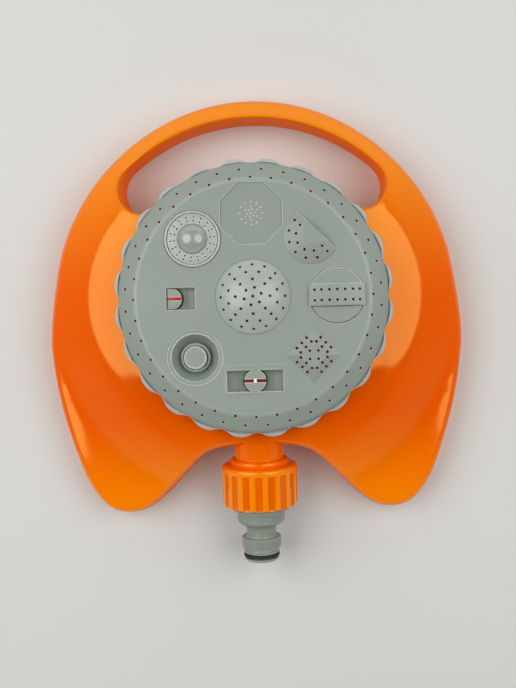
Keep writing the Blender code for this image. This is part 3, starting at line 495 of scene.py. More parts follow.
# The nipple's ABS, darker than the dial's, with painted highlights along its edges.
nipple_abs = moulded("nipple_grey_abs", "#878F83", "#81897D", 0.34, 0.45, 0.008,
                     edge_highlight=("#C0C6BB", 0.35))
# The pale tips of the mist nozzles, in natural acetal.
acetal = moulded("pale_acetal", "#D8DCD4", "#D0D4CC", 0.45, 0.3, 0.004)
# Dark red ABS of the inner plate and of its cores in the fan slots.
red_abs = moulded("dark_red_abs", "#B40808", "#A60606", 0.35, 0.6, 0.004)
# The ends of the red plate's tubes: a pale pinkish rim round every hole, a painted highlight.
rim_highlight_abs = moulded("painted_rim_highlight_abs", "#CFA9A3", "#C39E99", 0.5, 0.3, 0.004)
# The tubes' bores: nearly black with a trace of red, painted shade of the deep holes.
bore_shade_abs = moulded("painted_bore_shade_abs", "#160304", "#100203", 0.6, 0.3, 0.004)
# The small web between the fan's two slots, painted cream-white as a highlight.
web_highlight_abs = moulded("web_highlight_abs", "#F2E6D8", "#EADCCB", 0.4, 0.4, 0.004)
# Glass-filled nylon: dark, dry and slightly mottled. It also makes the dark ring of painted shade under
# the gap round the two-way fan's disc.
nylon_and_gap_shade = moulded("dark_filled_nylon", "#33373A", "#2A2E30", 0.5, 0.35, 0.01)
# Nitrile rubber: black with a dull, powdery skin.
nitrile = moulded("black_nitrile_rubber", "#1B1B1C", "#232324", 0.7, 0.3, 0.01)


def plated_steel():
    """Zinc-plated steel: a bright metal with the fine rings left by turning."""
    material, tree, inputs = new_material("zinc_plated_steel")
    inputs["Metallic"].default_value = 1.0
    inputs["Base Color"].default_value = linear("#C4C6CA")
    marks = clouds(tree, add(tree, "ShaderNodeTexCoord").outputs["Object"], 0.3, 2.0)
    tree.links.new(ramp(tree, marks, low=0.22, high=0.4), inputs["Roughness"])
    return material


steel = plated_steel()


# Base

# The water port's distance from the dial's axis, under whichever pattern faces the hose
PORT_REACH = 24
PORT = Matrix.Translation((0, -PORT_REACH, 0))
BASE_RADIUS = 89.99
SHOULDER_FLAT = 0.9
FOOT = ((92.33, -10.0), (91.75, -28.0), (87.7, -50.0), (80.3, -73.5), (74.5, -84.7), (67.5, -92.0),
        (59.0, -94.2), (50.5, -92.4), (42.5, -86.4), (33.0, -76.8), (24.2, -68.2), (16.0, -64.8))
ARCH = -64.0
DOME = np.array(((46.0, 33.8), (56.0, 32.2), (64.0, 29.8), (70.5, 27.6), (76.0, 25.0),
                 (84.0, 20.9), (91.5, 17.2), (97.0, 15.9), (105.0, 14.9), (116.0, 13.9)))
DOME_SLOPES = np.gradient(DOME[:, 1], DOME[:, 0])
DOME_SLOPES[0] = 0
WALL = 2.4
# How far the outer wall leans in, and the radius that rounds its upper edge
DRAFT = 1.2
EDGE = 2.6
HANDLE = 10.0
OPENING_Y = 38.0
OPENING_CORNER = 11.7
OPENING_DRAFT = 1.5
# The moulded lip round the hand opening: (distance from its wall, height over the dome)
LIP = ((0, -0.9), (0.1, -0.7), (0.2, -0.35), (0.4, 0.0), (0.7, 0.22), (1.1, 0.32), (1.5, 0.25),
       (1.9, 0.08), (2.2, 0.0))


def dome(x, y):
    """The base's height at a place, a smooth curve through the dome's measured heights."""
    radius = math.hypot(x, y)
    i = int(np.clip(np.searchsorted(DOME[:, 0], radius) - 1, 0, len(DOME) - 2))
    (r0, h0), (r1, h1) = DOME[i], DOME[i + 1]
    t = min(max((radius - r0) / (r1 - r0), 0), 1)
    span = r1 - r0
    return ((2 * t ** 3 - 3 * t ** 2 + 1) * h0 + (t ** 3 - 2 * t ** 2 + t) * span * DOME_SLOPES[i]
            + (3 * t ** 2 - 2 * t ** 3) * h1 + (t ** 3 - t ** 2) * span * DOME_SLOPES[i + 1])


def curve_through(points, spans):
    """Points of a smooth curve through control points, without its two outer guides."""
    curve = []
    for i in range(1, len(points) - 2):
        before, start, end, after = (np.array(p) for p in points[i - 1:i + 3])
        for k in range(spans):
            t = k / spans
            curve.append(tuple(0.5 * (2 * start + (end - before) * t
                                      + (2 * before - 5 * start + 4 * end - after) * t ** 2
                                      + (3 * start - before - 3 * end + after) * t ** 3)))
    return curve


def back_arc(count):
    """The base's round back from its right side to its middle, a little flatter on the shoulder."""
    points = []
    for i in range(count + 1):
        degrees = 12 + 78 * i / count
        flat = SHOULDER_FLAT * math.sin(math.radians(2 * degrees)) ** 2
        points.append(polar(BASE_RADIUS - flat, degrees))
    return points


def base_outline():
    """The base's outline, anticlockwise seen from above."""
    coarse = back_arc(9)
    guides = [coarse[1], coarse[0], *FOOT, (0, ARCH), (-FOOT[-1][0], FOOT[-1][1])]
    right = back_arc(36)[:0:-1] + curve_through(guides, 6)
    left = [(-x, y) for x, y in reversed(right) if x > 0.1]
    return (right + [(0, ARCH)] + left)[::-1]


def opening_outline(grow, draft=0.0):
    """The hand opening's outline, widened by a distance and by draft under the handle."""
    outer = BASE_RADIUS - HANDLE + grow + draft
    floor = OPENING_Y - grow
    corner = OPENING_CORNER + grow + draft
    side = math.sqrt((outer - corner) ** 2 - (floor + corner) ** 2)
    tip = math.degrees(math.atan2(floor + corner, side))
    top = arc(outer, tip, 180 - tip, 47)
    right = [(side + x, floor + corner + y) for x, y in arc(corner, -90, tip, 12)]
    left = [(-x, y) for x, y in reversed(right)]
    return right + top[1:-1] + left


def base_skin():
    """The base as one shell of even wall: a dome with a rounded edge and a lipped opening."""
    shape = bmesh.new()
    foot = base_outline()
    edge_rings = []
    for degrees in range(0, 91, 15):
        angle = math.radians(degrees)
        flat = grown(foot, -DRAFT - EDGE * (1 - math.cos(angle)))
        edge_rings.append([(x, y, dome(x, y) - EDGE * (1 - math.sin(angle))) for x, y in flat])
    lip_rings = []
    for distance, rise in LIP:
        lip_rings.append([(x, y, dome(x, y) + rise) for x, y in opening_outline(distance)])
    rim = [(x, y) for x, y, _ in edge_rings[-1]]
    hole = [(x, y) for x, y, _ in lip_rings[-1]]
    places, triangles = filled(rim, [hole], 2.6)
    top = [shape.verts.new((x, y, dome(x, y))) for x, y in places]
    under = [shape.verts.new((x, y, dome(x, y) - WALL)) for x, y in places]
    for a, b, c in triangles:
        shape.faces.new((top[a], top[b], top[c]))
        shape.faces.new((under[c], under[b], under[a]))
    count = len(rim)
    outer_wall = [ring_of(shape, grown(foot, -WALL), 0), ring_of(shape, foot, 0)]
    outer_wall += [[shape.verts.new(point) for point in ring] for ring in edge_rings[:-1]]
    bridge(shape, [under[:count], *outer_wall, top[:count]])
    end = count + len(hole)
    inner_wall = [ring_of(shape, opening_outline(LIP[-1][0], OPENING_DRAFT), 0),
                  ring_of(shape, opening_outline(0, OPENING_DRAFT), 0)]
    inner_wall += [[shape.verts.new(point) for point in ring] for ring in lip_rings[:-1]]
    bridge(shape, [under[count:end], *inner_wall, top[count:end]])
    return piece_from("base_moulding", shape)


def trimmed_rib(rib, degrees):
    """A rib whose top follows the dome's underside, turned to its place."""
    shape = bmesh.new()
    shape.from_mesh(rib.data)
    bmesh.ops.subdivide_edges(shape, edges=[e for e in shape.edges
                                            if abs(e.verts[0].co.x - e.verts[1].co.x) > 1], cuts=20)
    for vert in shape.verts:
        if vert.co.z > 20:
            vert.co.z = dome(vert.co.x, 0) - WALL / 2
    shape.to_mesh(rib.data)
    shape.free()
    return moved(rib, Matrix.Rotation(math.radians(degrees), 4, "Z"))


def base_moulding():
    """The shell with its inlet stem and pipe, port, axle post and four ribs."""
    base = base_skin()
    solid = [
        moved(turn("pipe", [(0, -14), (8, -14), (8, -46), (10.5, -50), (10.5, -73.9), (10.3, -74.5),
                            (9.3, -74.5), (9.3, -76.3), (10.3, -76.3), (10.5, -76.6), (10.5, -77.6),
                            (10.1, -78), (0, -78)], 64), INLET_TILT),
        moved(turn("port", [(0, 33.7), (7.8, 33.7), (7.8, 22), (0, 22)], 40),
              PORT),
        turn("post", [(0, 39.6), (5.5, 39.6), (6, 39.1), (6, 33), (6.5, 33), (6.2, 18), (0, 18)], 40),
    ]
    for tool in solid:
        combine(base, tool, "UNION")
    for degrees in (8, 172, 212, 328):
        rib = block("rib", (9, -1, 8), (70 if degrees < 200 else 84, 1, 33))
        combine(base, trimmed_rib(rib, degrees), "UNION")
    bores = [
        moved(turn("bore", [(0, -16.5), (5, -16.5), (5, -47.5), (7, -52), (7, -81), (0, -81)], 40),
              INLET_TILT),
        moved(turn("seat", [(0, 36), (5.3, 36), (5.3, 30.6), (3.4, 30.6), (3.4, 25), (0, 25)], 32),
              PORT),
        turn("screw_hole", [(0, 42), (2.2, 42), (2.2, 24), (0, 24)], 20),
    ]
    for tool in bores:
        combine(base, tool)
    fit(base, DIAL, ["base_shell"], orange_abs, 28, "base")


# Dial

PATTERN_RADIUS = 34.2
# Where the patterns stand round the dial, in degrees. The one-way fan is drawn in its place.
BAR, MOON, MIST, RING, JET, TWO_WAY, DIAMOND = 0, 45, 90, 135, 225, 270, -45
SCALLOPS = 24
GRIP_RADIUS = 57.3
FACE = 52.0
FACE_REACH = 47.4
RIM_START = 48.0
FACE_WALL = 2.2
# The top of the raised pad round the two-way fan
PAD = 52.25
# The underside of the pattern pieces
CHAMBER = 46.1
MIST_TOP = 51.45
# Rings of pale tips in the mist plate: (count, radius, first tip's angle)
MIST_RINGS = ((1, 0, 0), (6, 1.5, 10), (6, 2.7, 30), (12, 4.6, 0))
CELL = 11.6
HOLE = 0.82
# Rows of holes on the sloping rim: (radius, height, first hole's angle, lean outwards)
RIM_ROWS = ((49.1, 51.4, 0, 25), (52.7, 49.3, 5, 30))
RIM_COUNT = 36
# The cover's rings start here, so that none of their points meets one of a window's
OFF_GRID = 1.25
ROSE_RADIUS = 15.3
ROSE_RISE = 6.13
ROSE_EDGE = 52.2
# Rings of holes in the middle rose: (count, radius, first hole's angle)
ROSE_RINGS = ((6, 3.6, 17), (8, 7.0, 0), (12, 10.2, 15), (16, 13.1, 0))
OCTAGON = 12.55
DIAMOND_REACH = 11.4
DIAMOND_FLAT = 6.0
DIAMOND_RISE = 1.7
BAR_REACH = 11.45
BAR_HALF_WIDTH = 4.45
FAN_HEIGHT = 4.35
FAN_LENGTH = 11.5
FAN_DISC = 4.5
# Half the widths of the bridge between the fan's two pockets and of the fans' slots
NECK = 1.5
SLOT = 0.675
# How deep a tube's end is drawn
TUBE = 1.2
HOLE_SIDES = 14
# How wide a band beside a window without painted edge highlights keeps the cover's own grey
UNHIGHLIGHTED_BAND = 0.45
MOON_RADIUS = 11.4
MOON_CHORD = 3.2
MOON_RISE = 2.8
MOON_LEAN = 2.2
# Arcs of holes in the half-moon: (count, radius, degrees apart)
MOON_ARCS = ((7, 9.2, 30), (6, 6.2, 36))


def around(radius, height, count, start=0.0, lean=0.0):
    """Places evenly round an axis. They may lean outwards from straight up."""
    places = []
    for i in range(count):
        degrees = start + 360 * i / count
        outward = polar(math.sin(math.radians(lean)), degrees)
        places.append(((*polar(radius, degrees), height), (*outward, math.cos(math.radians(lean)))))
    return places


def cell_at(degrees, turn_degrees=0.0):
    """Where a pattern's piece stands on the dial."""
    return (Matrix.Translation((*polar(PATTERN_RADIUS, degrees), 0))
            @ Matrix.Rotation(math.radians(turn_degrees), 4, "Z"))


def moved_outline(outline, degrees, turn_degrees=0.0):
    matrix = cell_at(degrees, turn_degrees)
    return [tuple((matrix @ Vector((x, y, 0))).xy) for x, y in outline]


def tubes(name, places, where):
    """The red plate's short tubes, whose ends stand flush in a row of holes: their pale rims are painted
    highlights, and their dark bores painted shade.
    """
    rim = ((HOLE - 0.02, -TUBE), (HOLE - 0.02, -0.03), (HOLE - 0.05, 0.02),
           (0.64, 0.02), (0.61, -0.04), (0.61, -TUBE))
    bore = ((0.6, -TUBE), (0.6, -0.12), (0.58, -0.1), (0.3, -0.1), (0.28, -0.3), (0.28, -TUBE))
    for suffix, profile, material in (("_rims", rim, rim_highlight_abs), ("_bores", bore, bore_shade_abs)):
        rings = collars(name + suffix, profile, places, HOLE_SIDES)
        fit(rings, where, [], material)


def scallop(radius, height, degrees):
    """Wide lobes with narrow valleys round the grip."""
    root = GRIP_RADIUS - 1.3
    if radius < root:
        return radius
    valley = math.cos(math.radians(SCALLOPS / 2 * degrees)) ** 2
    reach = 1.3 + 1.05 * (1 - 2 * valley ** 1.6)
    return root + (radius - root) * reach / 1.3


def grip_ring():
    """The scalloped rear half: a dish with an axle boss, eight ports and a groove beside the cover."""
    grip = turn("grip_ring", [
        (6.4, 34.4), (56.3, 34.4), (57.0, 34.7), (GRIP_RADIUS, 35.4), (GRIP_RADIUS, 42.7),
        (57.24, 43.0), (57.08, 43.3), (56.85, 43.5), (56.6, 43.55), (56.4, 43.4), (56.35, 42.5),
        (53.2, 42.5), (53.2, 36.6), (9, 36.6), (9, 39.2), (6.4, 39.2)], SCALLOPS * 14, scallop)
    combine(grip, pegs("ports", 3.2, around(PORT_REACH, 35, 8), 20, 10))
    fit(grip, DIAL, ["dial_body"], grip_abs)


def moon_outline():
    """A round cut by a chord that faces outwards along +X."""
    edge = math.degrees(math.acos(MOON_CHORD / MOON_RADIUS))
    return arc(MOON_RADIUS, edge, 360 - edge, 72)


def octagon_outline(across):
    """The mist plate's eight sides, by half their distance across flats."""
    return arc(across / math.cos(math.pi / 8), 22.5, 337.5, 7)


def fan_pocket(side):
    """One half of the two-way fan's window: its pan, and the slot into its disc."""
    start = math.degrees(math.asin(SLOT / FAN_DISC))
    end = math.degrees(math.acos(NECK / FAN_DISC))
    upper = [(NECK, FAN_HEIGHT)] + arc(FAN_DISC, end, start, 16)
    lower = [(x, -y) for x, y in reversed(upper)]
    slot = [(0.55, SLOT), (0.55, -SLOT)]
    corners = [(FAN_LENGTH - 0.25, -FAN_HEIGHT), (FAN_LENGTH, -FAN_HEIGHT + 0.25),
               (FAN_LENGTH, FAN_HEIGHT - 0.25), (FAN_LENGTH - 0.25, FAN_HEIGHT)]
    right = upper + slot + lower + corners
    pocket = right if side > 0 else [(-x, y) for x, y in reversed(right)]
    return [(x, y - PATTERN_RADIUS) for x, y in pocket]


def cover_windows():
    """Every window outside the fan's pad: outline, edge rounding, and whether its edges get painted
    highlights.
    """
    cell = circle(CELL + SEAM, 96)
    return [
        (circle(ROSE_RADIUS + SEAM, 120), 0.08, False),
        (moved_outline(octagon_outline(OCTAGON), MIST), 0.2, True),
        (grown(moved_outline(moon_outline(), MOON, MOON), SEAM), 0.05, False),
        (moved_outline(cell, BAR), 0.16, True),
        (moved_outline(circle(DIAMOND_REACH + SEAM, 4), DIAMOND), 0.03, False),
        (moved_outline(cell, JET), 0.1, False),
        (moved_outline(cell, RING), 0.1, False),
        (rectangle(-35.3, -4.45, -23.7, 4.45, 0.35), 0.2, True),
    ]


def window_walls(shape, outline, height, edge, edge_highlight=True):
    """A window's wall with its rounded upper edge. Returns its upper and lower rings."""
    upper = grown(outline, edge + (0.05 if edge_highlight else UNHIGHLIGHTED_BAND))
    rings = [ring_of(shape, upper, height)]
    for degrees in (90, 60, 30, 0):
        angle = math.radians(degrees)
        flat = grown(outline, edge * (1 - math.cos(angle)))
        rings.append(ring_of(shape, flat, height - edge * (1 - math.sin(angle))))
    rings.append(ring_of(shape, outline, FACE - FACE_WALL))
    bridge(shape, rings)
    return (upper, rings[0]), (outline, rings[-1])


def fill_between(shape, rim, holes, flip=False):
    """Flat triangles between a rim and its holes, each an outline with its ring of points."""
    _, triangles = filled(rim[0], [outline for outline, _ in holes])
    verts = rim[1] + [vert for _, ring in holes for vert in ring]
    for triangle in triangles:
        corners = [verts[i] for i in triangle]
        shape.faces.new(corners[::-1] if flip else corners)


def dial_cover():
    """The front half: a flat face that breaks to a sloping rim with two rows of holes."""
    shape = bmesh.new()
    profile = ((FACE_REACH, FACE), (47.5, FACE), (47.8, 51.98), (48.1, 51.9), (48.4, 51.76),
               (48.7, 51.58), (49.1, 51.35), (54.1, 48.42), (54.7, 48.0), (55.2, 47.5), (55.6, 46.9),
               (55.85, 46.2), (55.95, 45.4), (55.95, 43.9), (53.2, 43.9), (53.1, 47.2),
               (48.2, FACE - FACE_WALL))
    circles = [arc(radius, OFF_GRID, OFF_GRID + 358, 179) for radius, _ in profile]
    rings = [ring_of(shape, outline, height) for outline, (_, height) in zip(circles, profile)]
    bridge(shape, rings)
    openings = cover_windows()
    windows = [window_walls(shape, outline, FACE, edge, edge_highlight) for outline, edge, edge_highlight in openings]
    pockets = [window_walls(shape, fan_pocket(side), PAD, 0.14) for side in (1, -1)]
    pad = rectangle(-12.5, -40.0, 13.4, -27.6, 1.4)
    steps = ((0.25, FACE), (0.1, FACE), (0.04, 52.03), (-0.08, 52.16), (-0.22, 52.23), (-0.38, PAD),
             (-0.5, PAD))
    pad_rings = [ring_of(shape, grown(pad, distance), height) for distance, height in steps]
    bridge(shape, pad_rings)
    pad_foot = (grown(pad, 0.25), pad_rings[0])
    pad_top = (grown(pad, -0.5), pad_rings[-1])
    fill_between(shape, (circles[0], rings[0]), [upper for upper, _ in windows] + [pad_foot])
    fill_between(shape, pad_top, [upper for upper, _ in pockets])
    fill_between(shape, (circles[-1], rings[-1]), [lower for _, lower in windows + pockets], True)
    cover = piece_from("dial_face", shape)
    holes = []
    for radius, height, start, lean in RIM_ROWS:
        holes += around(radius, height, RIM_COUNT, start, lean)
    combine(cover, pegs("rim_holes", HOLE, holes, HOLE_SIDES, 6))
    # Windows whose edges get no painted highlight keep a band of the cover's own grey round them, and the
    # rim gets none either.
    unhighlighted_bands = [grown(outline, edge + UNHIGHLIGHTED_BAND - 0.02)
                for outline, edge, edge_highlight in openings if not edge_highlight]

    def unhighlighted(centres):
        by_window = np.any([inside(centres[:, :2], outline) for outline in unhighlighted_bands], axis=0)
        return by_window | (reach_of(centres) > RIM_START)

    # The band along the rim's break, which is painted lighter as a highlight.
    def break_highlight_band(centres):
        return MM * (np.abs(reach_of(centres) - RIM_START - 0.3) < 0.7) * (centres[:, 2] > 51.3)

    mark_unhighlighted(cover, unhighlighted)
    mark(cover, "break_highlight", break_highlight_band)
    fit(cover, DIAL, ["dial_cover"], face_abs, 30)
    tubes("rim_tubes", holes, DIAL)


def fan_core():
    """Two red bars in the fan's disc, hidden in it, and the web between its slots, painted cream-white as
    a highlight.
    """
    for name, low, high in (("fan_core_right", 0.6, 4.4), ("fan_core_left", -4.4, -0.6)):
        core = plate(name, [rectangle(low, -SLOT + SEAM, high, SLOT - SEAM, 0.1)], 49.5, 51.85, 0.08)
        fit(core, DIAL @ cell_at(TWO_WAY, 90), [], red_abs)
    # The web's cream-white is a painted highlight.
    web = plate("fan_web", [rectangle(-0.6, -0.85, 0.6, 0.85, 0.25)], PAD - 0.3, PAD + 0.06, 0.05)
    fit(web, DIAL @ cell_at(TWO_WAY), [], web_highlight_abs)


def dome_cap(radius, rise, edge, steps):
    """Profile of a round cap, from its top down to its edge."""
    ball = (radius ** 2 + rise ** 2) / (2 * rise)
    reach = math.asin(radius / ball)
    return [(ball * math.sin(reach * i / steps), edge + rise - ball * (1 - math.cos(reach * i / steps)))
            for i in range(steps + 1)]


def middle_rose():
    """The domed rose, drilled square to its dome."""
    inner = dome_cap(ROSE_RADIUS - 1.6, ROSE_RISE - 1.0, ROSE_EDGE - 0.6, 8)
    rose = turn("middle_rose", dome_cap(ROSE_RADIUS - 0.12, ROSE_RISE, ROSE_EDGE, 24) + [
        (ROSE_RADIUS, ROSE_EDGE - 0.2), (ROSE_RADIUS, CHAMBER), (ROSE_RADIUS - 1.6, CHAMBER),
        *reversed(inner)], 120)
    ball = (ROSE_RADIUS ** 2 + ROSE_RISE ** 2) / (2 * ROSE_RISE)
    drop = Vector((0, 0, ROSE_EDGE + ROSE_RISE - ball))
    spots = around(0, 0, 1)
    for count, radius, start in ROSE_RINGS:
        spots += around(radius, 0, count, start)
    holes = []
    for (x, y, _), _ in spots:
        outward = Vector((x, y, math.sqrt(ball ** 2 - x ** 2 - y ** 2)))
        holes.append((outward + drop, outward))
    combine(rose, pegs("rose_holes", HOLE, holes, HOLE_SIDES, 6))
    fit(rose, DIAL, ["centre_rose"], rose_abs, 32)
    tubes("rose_tubes", holes, DIAL)


def mist_insert():
    """The sunk eight-sided plate with its cluster of pale mist tips."""
    octagon = octagon_outline(OCTAGON - 0.01)
    mist = plate("mist_insert", [octagon], CHAMBER, MIST_TOP)
    combine(mist, plate("mist_hollow", [grown(octagon, -1.4)], 44, 49.6))
    tips = []
    for count, radius, start in MIST_RINGS:
        tips += around(radius, MIST_TOP, count, start)
    combine(mist, pegs("mist_holes", 0.36, tips, 12, 6))
    fit(mist, DIAL @ cell_at(MIST), ["mist_plate"], sunk_abs)
    tip = ((0.34, -1.3), (0.34, 0.05), (0.28, 0.12), (0.14, 0.12), (0.1, 0), (0.1, -1.3))
    pale = collars("mist_tips", tip, tips, 12)
    fit(pale, DIAL @ cell_at(MIST), [], acetal)


def moon_height(x, y):
    """The half-moon's height at a place: a cone whose flat top leans towards the straight side."""
    low, high = 0.0, MOON_RISE
    for _ in range(20):
        rise = (low + high) / 2
        share = rise / MOON_RISE
        if math.hypot(x - MOON_LEAN * share, y) < MOON_RADIUS - 6.4 * share:
            low = rise
        else:
            high = rise
    return FACE + high


def moon_solid(name, shrink):
    """The half-moon's body, or its hollow where it is shrunk by its wall."""
    top = FACE + MOON_RISE - shrink
    edge = MOON_RADIUS - shrink
    moon = turn(name, [(0, top), (4.7, top), (4.9, top - 0.02), (5.15, top - 0.12),
                       (edge - 0.6, FACE + 0.37 - shrink), (edge - 0.15, FACE + 0.13 - shrink),
                       (edge, FACE - shrink), (edge, CHAMBER - shrink), (0, CHAMBER - shrink)], 96)
    for vert in moon.data.vertices:
        vert.co.x += MOON_LEAN * max(vert.co.z - FACE + shrink, 0) / MOON_RISE
    chord = MOON_CHORD - shrink
    return combine(moon, block("chord", (chord, -20, 30), (chord + 20, 20, 70)))


def half_moon():
    """The half-round rose, with its straight side towards the dial's rim."""
    moon = moon_solid("half_moon", 0)
    soften(moon, 0.22, lambda a, b: min(a.x, b.x) > MOON_CHORD - 0.05
           and min(a.z, b.z) > FACE + 0.1)
    combine(moon, moon_solid("moon_hollow", 1.6))
    holes = []
    for count, radius, pitch in MOON_ARCS:
        for i in range(count):
            degrees = 180 + pitch * (i - (count - 1) / 2)
            x, y = polar(radius, degrees)
            holes.append(((x, y, moon_height(x, y)), (*polar(0.35, degrees), 1)))
    combine(moon, pegs("moon_holes", HOLE, holes, HOLE_SIDES, 8))
    # Only the straight side's edge gets a painted highlight.
    mark_unhighlighted(moon, lambda centres: centres[:, 0] < MOON_CHORD - 0.3)
    fit(moon, DIAL @ cell_at(MOON, MOON), ["half_moon_rose"], grey_abs, 18)
    tubes("moon_tubes", holes, DIAL @ cell_at(MOON, MOON))


def bar_rise(x):
    """The bar's arched top: its height over the face along its length."""
    return 1.0 + 1.4 * (1 - (x / BAR_REACH) ** 2)


def bar_insert():
    """The round rose crossed by a raised bar that is arched from end to end."""
    bar = turn("bar_insert", [(0, 52.6), (11.2, 52.6), (11.42, 52.42), (11.46, 51.4), (CELL, 51.2),
                              (CELL, CHAMBER), (0, CHAMBER)], 96)
    along = [BAR_REACH * (1 - i / 12) for i in range(25)]
    side = [(-BAR_REACH, -0.5), (BAR_REACH, -0.5), *((x, bar_rise(x)) for x in along)]
    ridge = plate("ridge", [side], -BAR_HALF_WIDTH, BAR_HALF_WIDTH, 0.3)
    moved(ridge, Matrix.Translation((0, 0, FACE)) @ Matrix.Rotation(math.pi / 2, 4, "X"))
    combine(bar, ridge, "UNION")
    combine(bar, block("hollow", (-10.3, -3.1, 44), (10.3, 3.1, 52.7)))
    combine(bar, block("gap", (-11.0, -BAR_HALF_WIDTH - 0.3, 51.6), (11.0, -BAR_HALF_WIDTH - 0.02, 53.4)))
    holes = [((x, y, FACE + bar_rise(x)), (x * 0.018, 0, 1))
             for x in (-9.2, -6.4, -3.2, 0, 3.2, 6.4, 9.2) for y in (-2.13, 2.13)]
    combine(bar, pegs("bar_holes", HOLE, holes, HOLE_SIDES, 8))
    # The bar's flat top and the faces below the bar get no painted edge highlight.
    mark_unhighlighted(bar, lambda centres: (centres[:, 1] < -4.6)
          | ((np.abs(centres[:, 1]) < BAR_HALF_WIDTH - 0.35) & (centres[:, 2] > FACE + 0.9)))
    fit(bar, DIAL @ cell_at(BAR), ["bar_rose"], face_abs)
    tubes("bar_tubes", holes, DIAL @ cell_at(BAR))


def diamond_insert():
    """The four-sided rose: a low pyramid with soft ridges and a flat middle."""
    top = FACE + DIAMOND_RISE
    diamond = turn("diamond_insert", [
        (0, top), (DIAMOND_FLAT, top), (DIAMOND_REACH, FACE + 0.02), (DIAMOND_REACH, CHAMBER),
        (0, CHAMBER)], 4)
    soften(diamond, 0.3, lambda a, b: abs(abs(a.x) - abs(a.y)) > 5 and abs(abs(b.x) - abs(b.y)) > 5
           and a.x * b.y == b.x * a.y and min(a.z, b.z) > FACE)
    combine(diamond, turn("hollow", [(0, 50.8), (9.8, 50.8), (9.8, 45), (0, 45)], 4))
    quarter = ((2.9, 7.0), (4.9, 4.9), (7.0, 2.9), (1.05, 5.4), (5.4, 1.05), (3.25, 3.25), (1.7, 1.7))
    holes = []
    for x, y in quarter:
        slope = max(x + y - DIAMOND_FLAT, 0) / (DIAMOND_REACH - DIAMOND_FLAT)
        height = top - slope * DIAMOND_RISE
        holes += [((sx * x, sy * y, height), (0, 0, 1)) for sx in (-1, 1) for sy in (-1, 1)]
    combine(diamond, pegs("diamond_holes", HOLE, holes, HOLE_SIDES, 12))
    # No face of the diamond gets a painted edge highlight.
    mark_unhighlighted(diamond, lambda centres: centres[:, 2] > 0)
    fit(diamond, DIAL @ cell_at(DIAMOND), ["diamond_rose"], grey_abs, 12)
    tubes("diamond_tubes", holes, DIAL @ cell_at(DIAMOND))


def ring_insert():
    """The ring of fine holes inside a raised lip, with a groove between."""
    ring = turn("ring_insert", [
        (6.2, 52.1), (6.3, 52.2), (10.05, 52.2), (10.2, 52.12), (10.27, 51.95), (10.3, 51.5),
        (10.52, 51.5), (10.55, 52.3), (10.7, 52.6), (11.0, 52.75), (11.3, 52.65), (11.44, 52.4),
        (11.46, 51.4), (CELL, 51.2), (CELL, CHAMBER), (10.6, CHAMBER), (10.6, 50.2), (6.2, 50.2)], 108)
    holes = around(9.0, 52, 18, 5) + around(7.45, 52, 18, 5)
    combine(ring, pegs("ring_holes", 0.41, holes, 10, 3.2))
    fit(ring, DIAL @ cell_at(RING), ["ring_rose"], ring_abs)


def button():
    """The glossy round button in the middle of the ring."""
    inner = dome_cap(4.9, 1.9, 52.0, 6)
    knob = turn("button", dome_cap(6.0, 2.9, 52.3, 20) + [
        (6.1, 52.0), (6.1, CHAMBER), (4.9, CHAMBER), *reversed(inner)], 72)
    fit(knob, DIAL @ cell_at(RING), ["ring_button"], button_abs)


def trough(name, points, half_width, centre):
    """A channel's side view, drawn out across it."""
    tool = plate(name, [points], -half_width, half_width)
    return moved(tool, Matrix.Translation(centre) @ Matrix.Rotation(math.pi / 2, 4, "X"))


def two_way_pan():
    """The pan under the long window, which slopes up to both ends, and a dark ring in it, painted shade
    of the gap round the fan's disc.
    """
    pan = plate("two_way_pan", [rectangle(-12.6, -5.4, 12.6, 5.4), circle(5.1, 48)], CHAMBER, 49.5)
    slopes = [(-11.6, 50.5), (-11.6, 49.1), (-6.7, 47.9), (-6.6, 48.5), (6.6, 48.5), (6.7, 47.9),
              (11.6, 49.1), (11.6, 50.5)]
    combine(pan, trough("channel", slopes, FAN_HEIGHT, (0, 0, 0)))
    fit(pan, DIAL @ cell_at(TWO_WAY), ["double_fan_pan"], pan_abs)
    # A dark ring under the gap round the fan's disc, painted shade.
    collar = turn("fan_gap_shade", [(4.2, 49.74), (5.08, 49.74), (5.08, 49.58), (4.2, 49.58)], 64)
    fit(collar, DIAL @ cell_at(TWO_WAY), [], nylon_and_gap_shade)


def nozzle_outline(radius, flat, half_width):
    """The one-way nozzle from above: a disc cut flat behind and on both sides."""
    edge = math.degrees(math.asin(half_width / radius))
    shape = arc(radius, -edge, edge, 32) + [(-flat, half_width), (-flat, -half_width)]
    return [(x - 33.7, y) for x, y in shape]


def one_way_nozzle():
    """The slotted nozzle behind the square window, its red core, its pan and a dark gap round it."""
    pan = plate("one_way_pan", [rectangle(-38.4, -5.6, -22.2, 5.6)], CHAMBER, 49.5)
    slopes = [(-35.5, 50.5), (-35.5, 48.4), (-27.6, 48.4), (-27.5, 47.9), (-23.6, 49.1), (-23.6, 50.5)]
    combine(pan, trough("channel", slopes, 4.45, (0, 0, 0)))
    combine(pan, plate("gap", [nozzle_outline(5.15, 1.45, 4.4)], 46.8, 50))
    fit(pan, DIAL, ["single_fan_nozzle"], pan_abs)
    post = plate("one_way_nozzle", [nozzle_outline(4.5, 1.3, 4.15)], 46.5, 51.2, 0.12)
    combine(post, plate("hollow", [nozzle_outline(3.8, 0.6, 3.75)], 44, 49.8))
    combine(post, block("slot", (-35.5, -SLOT, 49.4), (-28.9, SLOT, 53.4)))
    fit(post, DIAL, [], grey_abs)
    ridge = rectangle(-34.9, -SLOT + SEAM, -29.3, SLOT - SEAM, 0.1)
    core = plate("one_way_core", [ridge], 49.5, 51.0, 0.08)
    fit(core, DIAL, [], red_abs)


